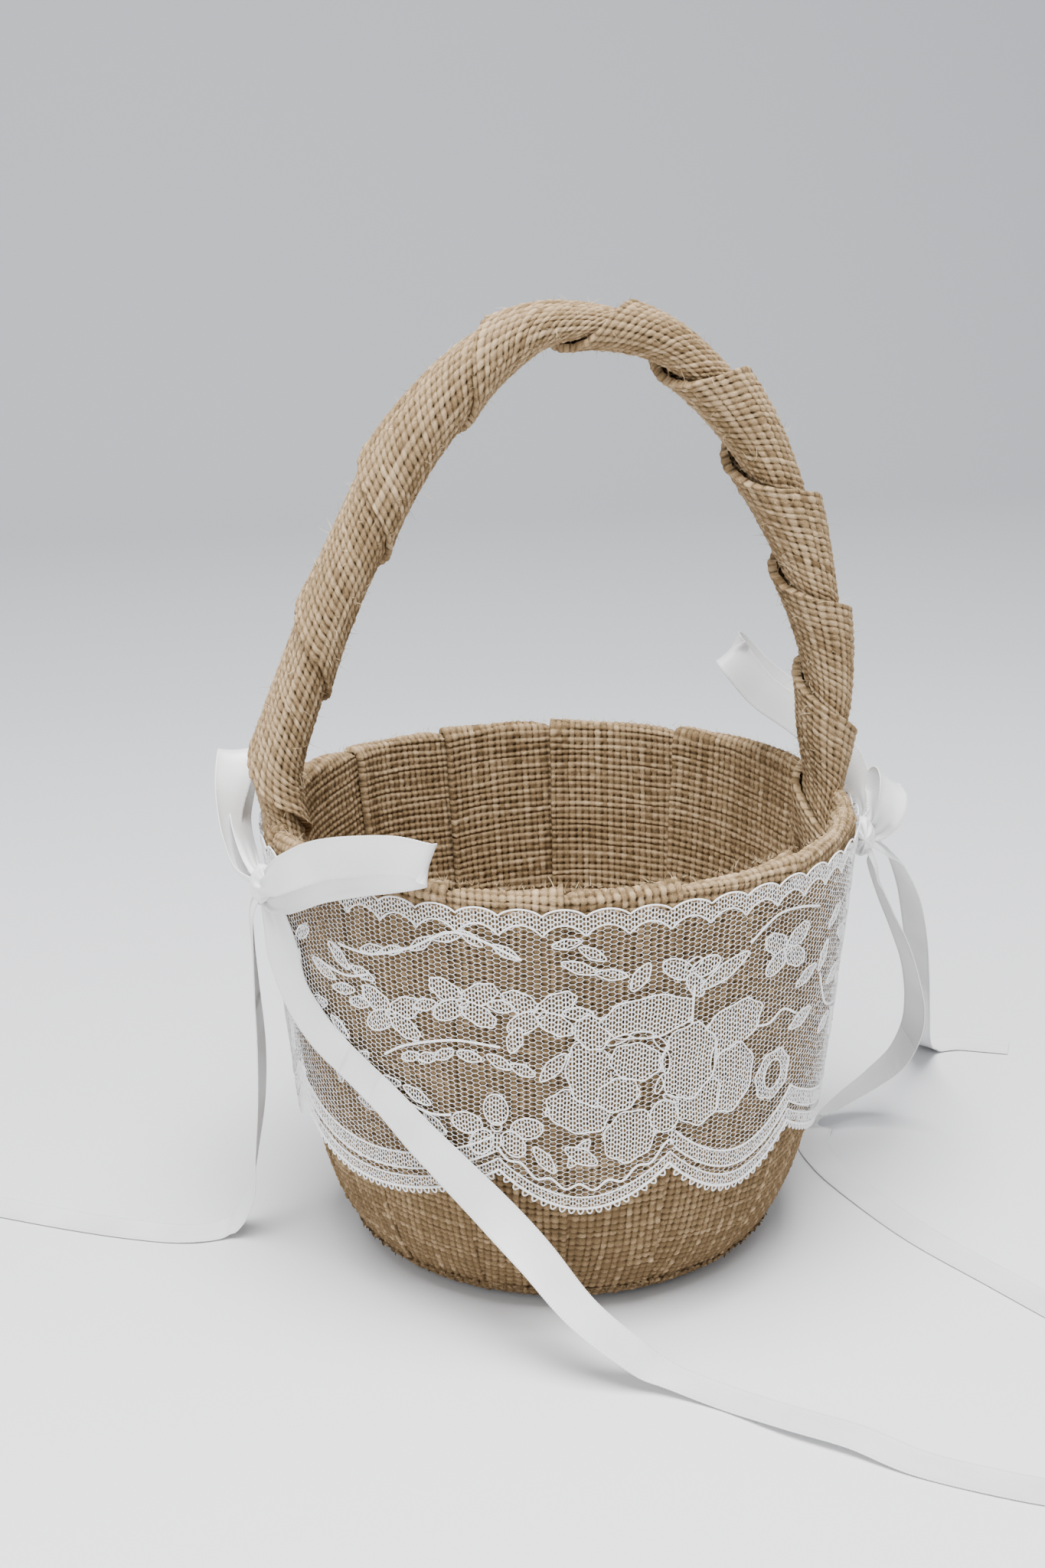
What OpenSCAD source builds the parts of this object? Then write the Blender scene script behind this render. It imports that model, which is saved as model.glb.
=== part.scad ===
// Small hooped basket: a round bowl covered with folded burlap strips, a burlap-wrapped
// handle, a lace band round the outside of the rim and two satin ribbon bows.
// Millimetres, +Z up, base on z = 0, the handle's plane is XZ, the front is -Y.

/* [Bowl] */
// Height of the rim above the surface it stands on
rim_z = 116; // [90:1:150]
// Outer radius at the rim
rim_r = 75.1; // [60:0.1:95]
// Outer radius where the bowl meets the surface
foot_r = 49.4; // [35:0.1:65]
// How far the wall swells out above the foot
belly = 13.5; // [0:0.5:20]
// Height over which the swelling dies away
belly_z = 15; // [5:1:40]
// Thickness of one burlap leaf
leaf_t = 1.2; // [0.6:0.1:2]
// Thickness of the moulded core
core_t = 2; // [1:0.1:3]
// Clearance between soft layers
gap = 0.2; // [0.1:0.05:0.5]

/* [Burlap strips] */
// Gap between two neighbouring strips, in degrees
strip_gap = 0.3; // [0.2:0.1:1]
// Inner radius of the hem turned under the base
hem_r = 38; // [25:1:45]
// Radius of the patch under the base
patch_r = 47; // [40:0.5:48]
// Thickness of the patch under the base
patch_t = 1.1; // [0.6:0.1:1.2]

/* [Handle] */
// Width of the hidden hoop
hoop_w = 10; // [6:1:14]
// Thickness of the hidden hoop
hoop_t = 2; // [1:0.1:3]
// Lowest point of the hoop's legs inside the wall
leg_z = 75; // [40:1:100]
// Width of the wrapped handle across its plane, at the legs
wrap_w = 17; // [12:0.5:22]

/* [Lace] */
// Top edge of the lace band
lace_top = 112.4; // [90:0.1:114]
// Height of the scallops' low points
lace_low = 35; // [20:1:80]
// Depth of the scallops
scallop = 10.5; // [2:0.5:15]
// Thickness of the lace
lace_t = 0.4; // [0.2:0.1:1]
// How far the lower edge of the lace stands off the bowl
lace_lift = 2.2; // [0.3:0.1:6]

/* [Ribbons] */
// Width of the satin ribbon
ribbon_w = 9.5; // [6:0.5:25]
// Thickness given to the ribbon
ribbon_t = 0.7; // [0.3:0.1:1.5]
// Length of a knot along the rim
knot_l = 9; // [6:0.5:14]
// Height of a knot
knot_h = 10; // [6:0.5:14]
// How far a knot stands out from the lace
knot_d = 6; // [3:0.5:9]

/* [Hidden] */
flare = rim_r - foot_r - belly;
wall_t = 2 * leaf_t + core_t + 2 * gap;
lip_z = rim_z - wall_t / 2;
lace_rows = 8;
lace_cols = 192;
ring_sides = 12;

// Directions of the burlap strips' edges round the rim, in degrees from +X.
edges = [-22, 11, 50, 80, 105, 130, 160, 188, 215, 238, 259, 280, 307, 338];

// Where the lace's scallops meet, in one of its three equal repeats round the bowl.
scallop_ends = [-170, -114, -81, -50];

// Centre line of the handle, right foot to left foot, as [across, height, thickness].
hoop = [[70, 116.6, 10.4], [70.3, 129, 13], [70.5, 143, 13], [67.5, 160, 13.5],
        [59.5, 184.5, 15], [47, 208.5, 14.4], [27.5, 228, 11], [2, 233.6, 10.4],
        [-16, 226.5, 14], [-34.5, 208, 16], [-49, 183, 14], [-60.5, 158, 13.2],
        [-70.3, 131, 12.6], [-70, 116.6, 10.4]];

// Ribbon routes as [x, y, z] and the direction the ribbon's width lies in there.
// Front tail of the left bow: down over the lace and away across the surface to the right.
tail_lf = [
    [-74.5, -19.5, 95, 0.8, -0.5, 0.3], [-71.5, -24, 80, 0.6, -0.6, 0.5],
    [-66.5, -33, 71.5, 0.5, -0.5, 0.7], [-60, -41.5, 65.5, 0.4, -0.5, 0.8],
    [-53, -49.5, 59.5, 0.4, -0.4, 0.8], [-46, -56, 52, 0.5, -0.3, 0.8],
    [-38.5, -62, 44.5, 0.6, -0.2, 0.7], [-31, -68, 37, 0.7, 0, 0.7],
    [-22.5, -75.5, 28, 0.8, 0.3, 0.4], [-13.5, -83, 17, 0.8, 0.5, 0.2],
    [-3.5, -88, 8.5, 0.8, 0.6, 0.1], [5, -91, 3, 0.7, 0.7, 0], [17, -100, 0.6, 0.6, 0.8, 0],
    [28.5, -113, 1.8, 0.7, 0.7, 0], [39.5, -123, 2, 0.7, 0.7, 0], [50, -133, 0.6, 0.6, 0.8, 0],
    [63.5, -143, 0.5, 0.6, 0.8, 0], [77, -151, 0.5, 0.5, 0.9, 0], [96, -160, 0.5, 0.4, 0.9, 0]];
// Side tail of the left bow: straight down and away to the left.
tail_ls = [
    [-79.5, -13.5, 96.5, 0.1, 1, 0], [-79.5, -9, 85, 0.1, 1, 0], [-79, -5, 70, 0.2, 1, 0],
    [-78.5, -3, 55, 0.3, 1, 0], [-79, -1, 40, 0.3, 1, 0], [-80.5, 1, 26, 0.2, 1, 0],
    [-82.5, 3, 12, 0, 1, 0], [-88.5, 6, 1.8, -0.1, 1, 0], [-99, 6, 0.6, -0.1, 1, 0],
    [-112, 11, 0.5, 0.3, 1, 0], [-128.5, 20, 0.5, 0.5, 0.9, 0],
    [-148.5, 32.5, 0.5, 0.5, 0.8, 0], [-166, 43, 0.5, 0.5, 0.8, 0]];
// Front tail of the right bow: bows out, lands beside the bowl and runs to the front right.
tail_rf = [
    [80, -13, 96, 0.2, 1, 0], [83, -7, 90, 0.1, 1, 0], [89, 0, 79, 0, 1, 0],
    [95, 5, 68, -0.1, 1, 0], [101, 11, 55, -0.1, 1, 0], [105.5, 18, 42, -0.2, 1, 0],
    [107, 24, 31, -0.2, 1, 0], [105, 29, 21, -0.2, 1, 0], [99, 33, 13, -0.1, 1, 0],
    [91, 34, 7, 0.2, 1, 0], [83, 31, 2.5, 0.6, 0.8, 0], [78, 22, 0.6, 1, 0.3, 0],
    [77.5, 8, 0.5, 1, 0, 0], [80, -8, 0.5, 1, 0.2, 0], [87.5, -36, 0.5, 0.9, 0.4, 0],
    [98.5, -62, 0.5, 0.9, 0.4, 0], [110, -88, 0.5, 0.9, 0.4, 0], [121, -108, 0.5, 0.9, 0.4, 0]];
// Back tail of the right bow: falls behind the front one and lies on the surface at the back.
tail_rb = [
    [83, -10.5, 99, 0.2, 1, 0], [90, -2, 93, 0, 1, 0], [99, 10, 79, -0.2, 1, 0],
    [107, 24, 62, -0.3, 1, 0], [114, 38, 44, -0.3, 1, 0], [120, 52, 26, -0.4, 0.9, 0],
    [126, 66, 10, -0.5, 0.8, 0], [133, 77, 1.6, -0.6, 0.8, 0], [143, 79, 0.6, 0, 1, 0],
    [151, 76, 0.5, 0.3, 1, 0], [159, 72, 0.5, 0.3, 1, 0]];
// Loops: out from the knot, round a tight tip and back to the knot.
loop_lf = [
    [-77, -22, 106, 0.3, -0.2, 0.9], [-72.5, -36, 113, 0.2, 0, 1], [-66, -46, 118.5, 0.1, -0.1, 1],
    [-58.2, -56, 122.2, 0.1, -0.2, 1], [-50.6, -63.5, 124, 0.2, -0.2, 1],
    [-45.3, -66.6, 123.4, 0.3, -0.2, 1], [-43.6, -65, 122.2, 0.3, -0.1, 1],
    [-45.2, -62.2, 120.6, 0.3, 0, 1], [-50.1, -58.5, 118.8, 0.2, 0.1, 1],
    [-57.8, -51.5, 116, 0.1, 0.2, 1], [-65, -42, 111.8, 0.1, 0.3, 1],
    [-70.5, -33, 106.8, 0.2, 0.2, 1], [-75.5, -21, 101.5, 0.3, -0.2, 0.9]];
loop_lb = [
    [-81.5, -8, 105, 0.4, 0.6, -0.3], [-82.8, -1, 111, 0.5, 0.6, -0.4],
    [-82.8, 4.5, 118, 0.6, 0.5, -0.3], [-81, 10, 125, 0.9, 0.3, 0], [-79.8, 14, 129, 1, 0.1, 0],
    [-79.1, 17.5, 128.4, 1, 0.1, 0], [-79.2, 17.8, 123, 0.9, 0.3, 0],
    [-80.2, 9, 114.5, 0.5, 0.6, -0.4], [-79.2, -7, 107.5, 0.4, 0.6, -0.3]];
loop_rf = [
    [81.2, -13.5, 104.5, 0.7, -0.3, -0.5], [82.6, -15.6, 108, 0.8, -0.2, -0.6],
    [83.6, -16, 112, 0.85, 0, -0.6], [84.2, -14.5, 115.8, 0.85, 0.1, -0.7],
    [84.4, -11.5, 117.8, 0.85, 0.1, -0.7], [84.1, -8.5, 117, 0.85, 0.1, -0.7],
    [83.2, -7, 113, 0.8, 0.2, -0.6], [82, -8, 109.5, 0.7, 0.4, -0.5],
    [80.8, -9.5, 106, 0.6, 0.5, -0.4]];
loop_rb = [
    [79.5, -7.5, 104.5, 0.3, 0.4, 0.8], [80.5, 8, 111.5, 0.4, 0.2, 0.9],
    [78.5, 20, 121.5, 0.6, 0.2, 0.7], [69.5, 27.5, 130.4, 0.6, 0.2, 0.7],
    [61.5, 30.5, 137.4, 0.6, 0.2, 0.7], [56, 31, 143.6, 0.6, 0.2, 0.7],
    [54, 29.2, 144, 0.6, 0.2, 0.7], [54.8, 27, 141.6, 0.6, 0.2, 0.7],
    [61.5, 24.5, 133.2, 0.6, 0.2, 0.7], [70.5, 19.5, 126.5, 0.6, 0.2, 0.7],
    [79.5, 10.5, 118, 0.5, 0.2, 0.8], [79.8, -6, 109, 0.3, 0.4, 0.8]];

burlap = [0.69, 0.57, 0.41];
white = [0.93, 0.93, 0.92];

function wall_r(z) = foot_r + flare * z / rim_z + belly * (1 - exp(-z / belly_z));
function lace_r(z) = wall_r(z) + 0.4 + lace_lift * pow((lace_top - z) / (lace_top - lace_low), 2);
function unit(v) = v / norm(v);
function xyz(p) = [p[0], p[1], p[2]];

// Smooth curve through a list of points: the part t (0 to 1) of the way from point i to the next.
function at(p, i) = p[max(0, min(len(p) - 1, i))];
function curve(p, i, t) =
    0.5 * (2 * at(p, i) + (at(p, i + 1) - at(p, i - 1)) * t
        + (2 * at(p, i - 1) - 5 * at(p, i) + 4 * at(p, i + 1) - at(p, i + 2)) * t * t
        + (3 * at(p, i) - at(p, i - 1) - 3 * at(p, i + 1) + at(p, i + 2)) * t * t * t);
function smooth(p, n) = [for (k = [0 : n * (len(p) - 1)])
    curve(p, min(floor(k / n), len(p) - 2), k / n - min(floor(k / n), len(p) - 2))];
function along(p, i) = unit(xyz(at(p, i + 1)) - xyz(at(p, i - 1)));

// Faces of a closed skin made of rings of m points, capped at both ends.
function ring_faces(rings, m) = concat(
    [for (i = [0 : rings - 2], j = [0 : m - 1]) [i * m + j, i * m + (j + 1) % m, (i + 1) * m + j]],
    [for (i = [0 : rings - 2], j = [0 : m - 1])
        [i * m + (j + 1) % m, (i + 1) * m + (j + 1) % m, (i + 1) * m + j]],
    [for (j = [1 : m - 2]) [0, j + 1, j]],
    [for (j = [1 : m - 2]) [(rings - 1) * m, (rings - 1) * m + j, (rings - 1) * m + j + 1]]);

// One eight-sided flat ring across a ribbon, thin ways along n and wide ways along w.
function ribbon_ring(c, w, n) = [for (k = [0 : 7])
    let (u = k % 4 == 2 ? 0 : (k % 4 == 0 ? 1 : 0.9) * (k > 2 && k < 6 ? -1 : 1),
         v = k % 4 == 0 ? 0 : (k < 4 ? 1 : -1))
    c + w * u * ribbon_w / 2 + n * v * ribbon_t / 2];

// Keeps the ribbon off the surface by its own thickness where it lies flat.
function lifted(c, w) = [c[0], c[1], max(c[2], ribbon_t / 2 + 0.05 + abs(w[2]) * ribbon_w / 2)];

module ribbon(route, n) {
    p = smooth(route, n);
    pts = [for (i = [0 : len(p) - 1])
        let (t = along(p, i), a = [p[i][3], p[i][4], p[i][5]], w = unit(a - (a * t) * t),
             flat = p[i][2] < 2 ? unit([w[0], w[1], 0]) : w)
        each ribbon_ring(lifted(xyz(p[i]), flat), flat, unit(cross(t, flat)))];
    polyhedron(points = pts, faces = ring_faces(len(p), 8), convexity = 6);
}

// Cross-section of a burlap strip: turned hem, outer leaf, fold over the rim, inner leaf.
module strip_section() {
    zs = [for (z = [4 : 4 : 24]) z];
    zt = [for (z = [32 : 10 : 102]) z];
    mid = wall_r(lip_z) - wall_t / 2;
    out_r = wall_t / 2;
    in_r = wall_t / 2 - leaf_t;
    polygon(concat(
        [[hem_r, 1.3], [patch_r + 0.4, 1.3], [patch_r + 0.6, 0], [foot_r, 0]],
        [for (z = zs) [wall_r(z), z]], [for (z = zt) [wall_r(z), z]],
        [for (a = [0 : 15 : 180]) [mid + out_r * cos(a), lip_z + out_r * sin(a)]],
        [for (k = [len(zt) - 1 : -1 : 0]) [wall_r(zt[k]) - wall_t, zt[k]]],
        [for (z = [24 : -4 : 8]) [wall_r(z) - wall_t, z]],
        [[wall_r(5) - wall_t, 5], [wall_r(5) - wall_t + leaf_t, 5]],
        [for (z = [8 : 4 : 24]) [wall_r(z) - wall_t + leaf_t, z]],
        [for (z = zt) [wall_r(z) - wall_t + leaf_t, z]],
        [for (a = [180 : -15 : 0]) [mid + in_r * cos(a), lip_z + in_r * sin(a)]],
        [for (k = [len(zt) - 1 : -1 : 0]) [wall_r(zt[k]) - leaf_t, zt[k]]],
        [for (z = [24 : -4 : 4]) [wall_r(z) - leaf_t, z]],
        [[wall_r(2.5) - leaf_t, 2.5], [hem_r, 2.5]]));
}

// One burlap strip between two of its edges; the two beside the handle are slit for the hoop.
module strip(k) {
    a0 = edges[k - 1] + strip_gap / 2;
    a1 = edges[k] - strip_gap / 2;
    slit_r = wall_r(lip_z) - wall_t / 2;
    color(burlap) difference() {
        rotate([0, 0, a0]) rotate_extrude(angle = a1 - a0, $fn = 180) strip_section();
        for (side = [1, -1])
            translate([side * slit_r, 0, rim_z])
                cube([hoop_t + 0.6, hoop_w + 1, 6.5], center = true);
    }
}

// The stiff bowl that the burlap is folded over, slotted for the hoop's legs.
module bowl_core() {
    s = concat([for (z = [6 : 3 : 24]) z], [for (z = [32 : 10 : 102]) z]);
    off = leaf_t + gap;
    color([0.78, 0.7, 0.55]) difference() {
        rotate_extrude($fn = 180) polygon(concat(
            [[0, 2.7], [wall_r(2.7) - off, 2.7]],
            [for (z = s) [wall_r(z) - off, z]],
            [[wall_r(lip_z) - off, lip_z], [wall_r(lip_z) - off - core_t, lip_z]],
            [for (k = [len(s) - 1 : -1 : 0]) [wall_r(s[k]) - off - core_t, s[k]]],
            [[wall_r(4.7) - off - core_t, 4.7], [0, 4.7]]));
        for (side = [1, -1])
            translate([side * rim_r, 0, leg_z - 0.3 + 25])
                cube([20, hoop_w + 0.6, 50], center = true);
    }
}

// Round burlap panel lying on the bowl's floor.
module lining_disc() {
    color(burlap) translate([0, 0, 4.9])
        cylinder(r = wall_r(5) - wall_t - 0.5, h = leaf_t, $fn = 180);
}

// Round burlap patch the basket stands on.
module base_patch() {
    color(burlap) cylinder(r = patch_r, h = patch_t, $fn = 180);
}

// Hidden flat hoop that stiffens the handle, with its legs set into the wall.
module handle_core() {
    leg = [for (z = [leg_z, 94, 112]) [wall_r(z) - wall_t / 2, z, 0]];
    upper = [for (k = [1 : len(hoop) - 2]) [hoop[k][0], hoop[k][1], 0]];
    path = concat(leg, [[wall_r(lip_z) - wall_t / 2, 118, 0]], upper,
        [[-wall_r(lip_z) + wall_t / 2, 118, 0]],
        [for (k = [2 : -1 : 0]) [-leg[k][0], leg[k][1], 0]]);
    p = smooth(path, 5);
    pts = [for (i = [0 : len(p) - 1])
        let (t = along(p, i), n = [-t[1], t[0]])
        each [for (q = [[1, 1], [1, -1], [-1, -1], [-1, 1]])
            [p[i][0] + n[0] * q[0] * (hoop_t - 0.4) / 2, q[1] * hoop_w / 2,
             p[i][1] + n[1] * q[0] * (hoop_t - 0.4) / 2]]];
    color([0.72, 0.6, 0.42])
        polyhedron(points = pts, faces = ring_faces(len(p), 4), convexity = 6);
}

// Burlap wound round the hoop: an oval tube, hollow for the hoop.
module handle_wrap() {
    p = smooth(hoop, 5);
    m = ring_sides;
    function ring(i, a, b) =
        let (d = along([for (q = p) [q[0], q[1], 0]], i), n = [-d[1], d[0]])
        [for (k = [0 : m - 1]) let (c = cos(360 * k / m), s = sin(360 * k / m))
            [p[i][0] + n[0] * a * c, b * s, p[i][1] + n[1] * a * c]];
    last = len(p) - 1;
    outer = [for (i = [0 : last])
        each ring(i, p[i][2] / 2, (wrap_w - 3 * max(0, (p[i][1] - 180) / 54)) / 2)];
    inner = [for (i = [0 : last]) each ring(i, hoop_t / 2 + 0.9, hoop_w / 2 + 1.4)];
    n_out = len(outer);
    color(burlap) polyhedron(points = concat(outer, inner), convexity = 8,
        faces = concat(
            [for (i = [0 : last - 1], j = [0 : m - 1])
                [i * m + j, i * m + (j + 1) % m, (i + 1) * m + j]],
            [for (i = [0 : last - 1], j = [0 : m - 1])
                [i * m + (j + 1) % m, (i + 1) * m + (j + 1) % m, (i + 1) * m + j]],
            [for (i = [0 : last - 1], j = [0 : m - 1])
                [n_out + i * m + (j + 1) % m, n_out + i * m + j, n_out + (i + 1) * m + j]],
            [for (i = [0 : last - 1], j = [0 : m - 1])
                [n_out + (i + 1) * m + (j + 1) % m, n_out + i * m + (j + 1) % m,
                 n_out + (i + 1) * m + j]],
            [for (j = [0 : m - 1]) [j, n_out + j, (j + 1) % m]],
            [for (j = [0 : m - 1]) [n_out + j, n_out + (j + 1) % m, (j + 1) % m]],
            [for (j = [0 : m - 1]) [last * m + j, last * m + (j + 1) % m, n_out + last * m + j]],
            [for (j = [0 : m - 1])
                [n_out + last * m + j, last * m + (j + 1) % m, n_out + last * m + (j + 1) % m]]));
}

// Lace band hanging from just under the rim, with a scalloped lower edge.
module lace_band() {
    n = lace_cols;
    rows = lace_rows;
    function into(a) = a - 120 * floor((a + 170) / 120);
    function share(a, k) = (a - scallop_ends[k]) / (scallop_ends[k + 1] - scallop_ends[k]);
    function dip(a) = sin(180 * (a < scallop_ends[1] ? share(a, 0)
        : a < scallop_ends[2] ? share(a, 1) : share(a, 2)));
    function low(a) = lace_low + scallop * (1 - dip(into(a)));
    function z_at(a, r) = lace_top + (low(a) - lace_top) * r / rows;
    function pt(j, r, off) =
        let (a = 360 * j / n, z = z_at(a, r), q = lace_r(z) + off) [q * cos(a), q * sin(a), z];
    outer = [for (j = [0 : n - 1], r = [0 : rows]) pt(j, r, lace_t)];
    inner = [for (j = [0 : n - 1], r = [0 : rows]) pt(j, r, 0)];
    k = rows + 1;
    b = len(outer);
    function id(j, r) = (j % n) * k + r;
    color(white) polyhedron(points = concat(outer, inner), convexity = 6, faces = concat(
        [for (j = [0 : n - 1], r = [0 : rows - 1]) [id(j, r), id(j + 1, r), id(j, r + 1)]],
        [for (j = [0 : n - 1], r = [0 : rows - 1]) [id(j + 1, r), id(j + 1, r + 1), id(j, r + 1)]],
        [for (j = [0 : n - 1], r = [0 : rows - 1]) [b + id(j + 1, r), b + id(j, r), b + id(j, r + 1)]],
        [for (j = [0 : n - 1], r = [0 : rows - 1])
            [b + id(j + 1, r + 1), b + id(j + 1, r), b + id(j, r + 1)]],
        [for (j = [0 : n - 1]) [id(j, 0), b + id(j, 0), id(j + 1, 0)]],
        [for (j = [0 : n - 1]) [b + id(j, 0), b + id(j + 1, 0), id(j + 1, 0)]],
        [for (j = [0 : n - 1]) [id(j, rows), id(j + 1, rows), b + id(j, rows)]],
        [for (j = [0 : n - 1]) [b + id(j, rows), id(j + 1, rows), b + id(j + 1, rows)]]));
}

// A pulled-tight ribbon knot against the lace, at a given direction round the rim.
module knot(dir) {
    color(white) rotate([0, 0, dir]) translate([lace_r(103) + lace_t + 0.4 + knot_d / 2, 0, 103])
        scale([knot_d, knot_l, knot_h] / 10) sphere(r = 5, $fn = 48);
}

module left_knot() { knot(-169); }
module right_knot() { knot(-9); }
module left_front_loop() { color(white) ribbon(loop_lf, 4); }
module left_back_loop() { color(white) ribbon(loop_lb, 4); }
module right_front_loop() { color(white) ribbon(loop_rf, 4); }
module right_back_loop() { color(white) ribbon(loop_rb, 4); }
module left_front_tail() { color(white) ribbon(tail_lf, 3); }
module left_side_tail() { color(white) ribbon(tail_ls, 4); }
module right_front_tail() { color(white) ribbon(tail_rf, 3); }
module right_back_tail() { color(white) ribbon(tail_rb, 4); }

base_patch();
bowl_core();
lining_disc();
strip(1);  // wrap_strip_01
strip(2);  // wrap_strip_02
strip(3);  // wrap_strip_03
strip(4);  // wrap_strip_04
strip(5);  // wrap_strip_05
strip(6);  // wrap_strip_06
strip(7);  // wrap_strip_07
strip(8);  // wrap_strip_08
strip(9);  // wrap_strip_09
strip(10);  // wrap_strip_10
strip(11);  // wrap_strip_11
strip(12);  // wrap_strip_12
strip(13);  // wrap_strip_13
handle_core();
handle_wrap();
lace_band();
left_knot();
left_front_loop();
left_back_loop();
left_front_tail();
left_side_tail();
right_knot();
right_front_loop();
right_back_loop();
right_front_tail();
right_back_tail();
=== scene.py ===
from collections import namedtuple
import math

import bpy
import numpy as np
from mathutils import Matrix, Vector


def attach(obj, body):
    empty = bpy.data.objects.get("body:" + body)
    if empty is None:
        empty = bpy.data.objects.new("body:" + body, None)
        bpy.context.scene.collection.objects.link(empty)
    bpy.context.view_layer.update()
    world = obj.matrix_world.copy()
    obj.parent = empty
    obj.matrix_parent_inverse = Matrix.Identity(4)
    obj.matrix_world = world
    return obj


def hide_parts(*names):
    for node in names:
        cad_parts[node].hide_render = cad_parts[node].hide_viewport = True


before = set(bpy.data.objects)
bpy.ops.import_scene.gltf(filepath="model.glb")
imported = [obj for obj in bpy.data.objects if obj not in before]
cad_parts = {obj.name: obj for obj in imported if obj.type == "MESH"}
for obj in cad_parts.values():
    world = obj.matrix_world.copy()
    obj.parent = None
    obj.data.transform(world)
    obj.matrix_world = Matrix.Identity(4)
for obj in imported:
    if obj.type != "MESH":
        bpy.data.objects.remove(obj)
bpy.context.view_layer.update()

MM = 0.001

# -------- sizes of the basket, in mm
FOOT_R, FLARE, BELLY, BELLY_Z = 49.4, 12.2, 13.5, 15.0  # the bowl's outside
RIM_Z, WALL = 116.0, 4.8
LIP_Z = RIM_Z - WALL / 2  # where the rim's round edge starts
LACE_TOP, LACE_LOW, SCALLOP, LACE_LIFT = 112.4, 35.0, 10.5, 2.2
SCALLOP_ENDS = (-170.0, -114.0, -81.0, -50.0)  # degrees, over one repeat of the lace
STRIP_EDGES = (-22, 11, 50, 80, 105, 130, 160, 188, 215, 238, 259, 280, 307, 338)  # degrees
YARN, PER_YARN = 1.85, 4  # spacing of yarns, mesh cells in one
CELL = YARN / PER_YARN
RIBBON_W, RIBBON_T = 9.5, 0.22


def wall_r(z):
    """Outside radius of the bowl at a height."""
    return FOOT_R + FLARE * z / RIM_Z + BELLY * (1 - np.exp(-np.maximum(z, 0) / BELLY_Z))


def lace_r(z):
    """Radius at which the lace hangs: it stands off more towards its lower edge."""
    return wall_r(z) + 0.4 + LACE_LIFT * ((LACE_TOP - z) / (LACE_TOP - LACE_LOW)) ** 2


# -------- camera
scene = bpy.context.scene
eye = Vector((-0.1103, -0.5188, 0.2761))
forward = Vector((0.1833, 0.9412, -0.2840)).normalized()
side = forward.cross(Vector((0, 0, 1))).normalized()
up = side.cross(forward)
ROLL = math.radians(-0.8)
side, up = math.cos(ROLL) * side + math.sin(ROLL) * up, math.cos(ROLL) * up - math.sin(ROLL) * side
lens = bpy.data.cameras.new("camera")
lens.lens = 50
lens.sensor_fit = "VERTICAL"
lens.sensor_height = 36
lens.clip_start = 0.01
camera = bpy.data.objects.new("camera", lens)
camera.matrix_world = Matrix.Translation(eye) @ Matrix((side, up, -forward)).transposed().to_4x4()
scene.collection.objects.link(camera)
scene.camera = camera


# -------- small helpers
def mesh_object(name, points, quads, material, uv=None, values=None, smooth=True):
    """A mesh from points in mm and rows of four corners, with a UV in mm and named values per point."""
    loops = np.asarray(quads, np.int64).ravel()
    me = bpy.data.meshes.new(name)
    me.vertices.add(len(points))
    me.vertices.foreach_set("co", (np.asarray(points, float) * MM).ravel())
    me.loops.add(len(loops))
    me.loops.foreach_set("vertex_index", loops)
    me.polygons.add(len(quads))
    me.polygons.foreach_set("loop_start", np.arange(0, len(loops), 4))
    me.update(calc_edges=True)
    me.polygons.foreach_set("use_smooth", np.full(len(quads), smooth))
    if uv is not None:
        layer = me.uv_layers.new(name="cloth")
        layer.data.foreach_set("uv", np.asarray(uv, float)[loops].ravel())
    for key, value in (values or {}).items():
        me.attributes.new(key, "FLOAT", "POINT").data.foreach_set("value", np.asarray(value, float))
    me.validate()
    me.materials.append(material)
    obj = bpy.data.objects.new(name, me)
    scene.collection.objects.link(obj)
    return obj


def on_basket(obj):
    """The piece moves with the basket."""
    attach(obj, "root")


def grid_faces(rows, cols, keep=None, wrap=False):
    """Quads of a grid of points: where all four corners are kept, closed round on `wrap`."""
    i, j = np.meshgrid(np.arange(rows - (0 if wrap else 1)), np.arange(cols - 1), indexing="ij")
    i, j = i.ravel(), j.ravel()
    if keep is not None:
        k = keep[i, j] & keep[(i + 1) % rows, j] & keep[i, j + 1] & keep[(i + 1) % rows, j + 1]
        i, j = i[k], j[k]
    n = (i + 1) % rows
    return np.stack([i * cols + j, n * cols + j, n * cols + j + 1, i * cols + j + 1], 1)


def smooth_curve(route, n):
    """Catmull-Rom curve through a route's rows, n steps between rows."""
    p = np.asarray(route, float)
    out = []
    for i in range(len(p) - 1):
        a, b, c, d = p[max(i - 1, 0)], p[i], p[i + 1], p[min(i + 2, len(p) - 1)]
        for k in range(n):
            t = k / n
            out.append(0.5 * (2 * b + (c - a) * t + (2 * a - 5 * b + 4 * c - d) * t * t
                              + (3 * b - a - 3 * c + d) * t ** 3))
    out.append(p[-1])
    return np.array(out)


def resample(p, step):
    """Rows of p spaced evenly along the length of its first three columns."""
    s = np.r_[0, np.cumsum(np.linalg.norm(np.diff(p[:, :3], axis=0), axis=1))]
    u = np.linspace(0, s[-1], max(2, int(round(s[-1] / step)) + 1))
    return np.stack([np.interp(u, s, p[:, k]) for k in range(p.shape[1])], 1), u


def unit(v):
    """Vectors scaled to a length of one."""
    return v / np.maximum(np.linalg.norm(v, axis=-1, keepdims=True), 1e-9)


def outward(x, z):
    """The direction square to a line of points, as its two parts."""
    dx, dz = np.gradient(x), np.gradient(z)
    size = np.hypot(dx, dz)
    return dz / size, -dx / size


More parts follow.
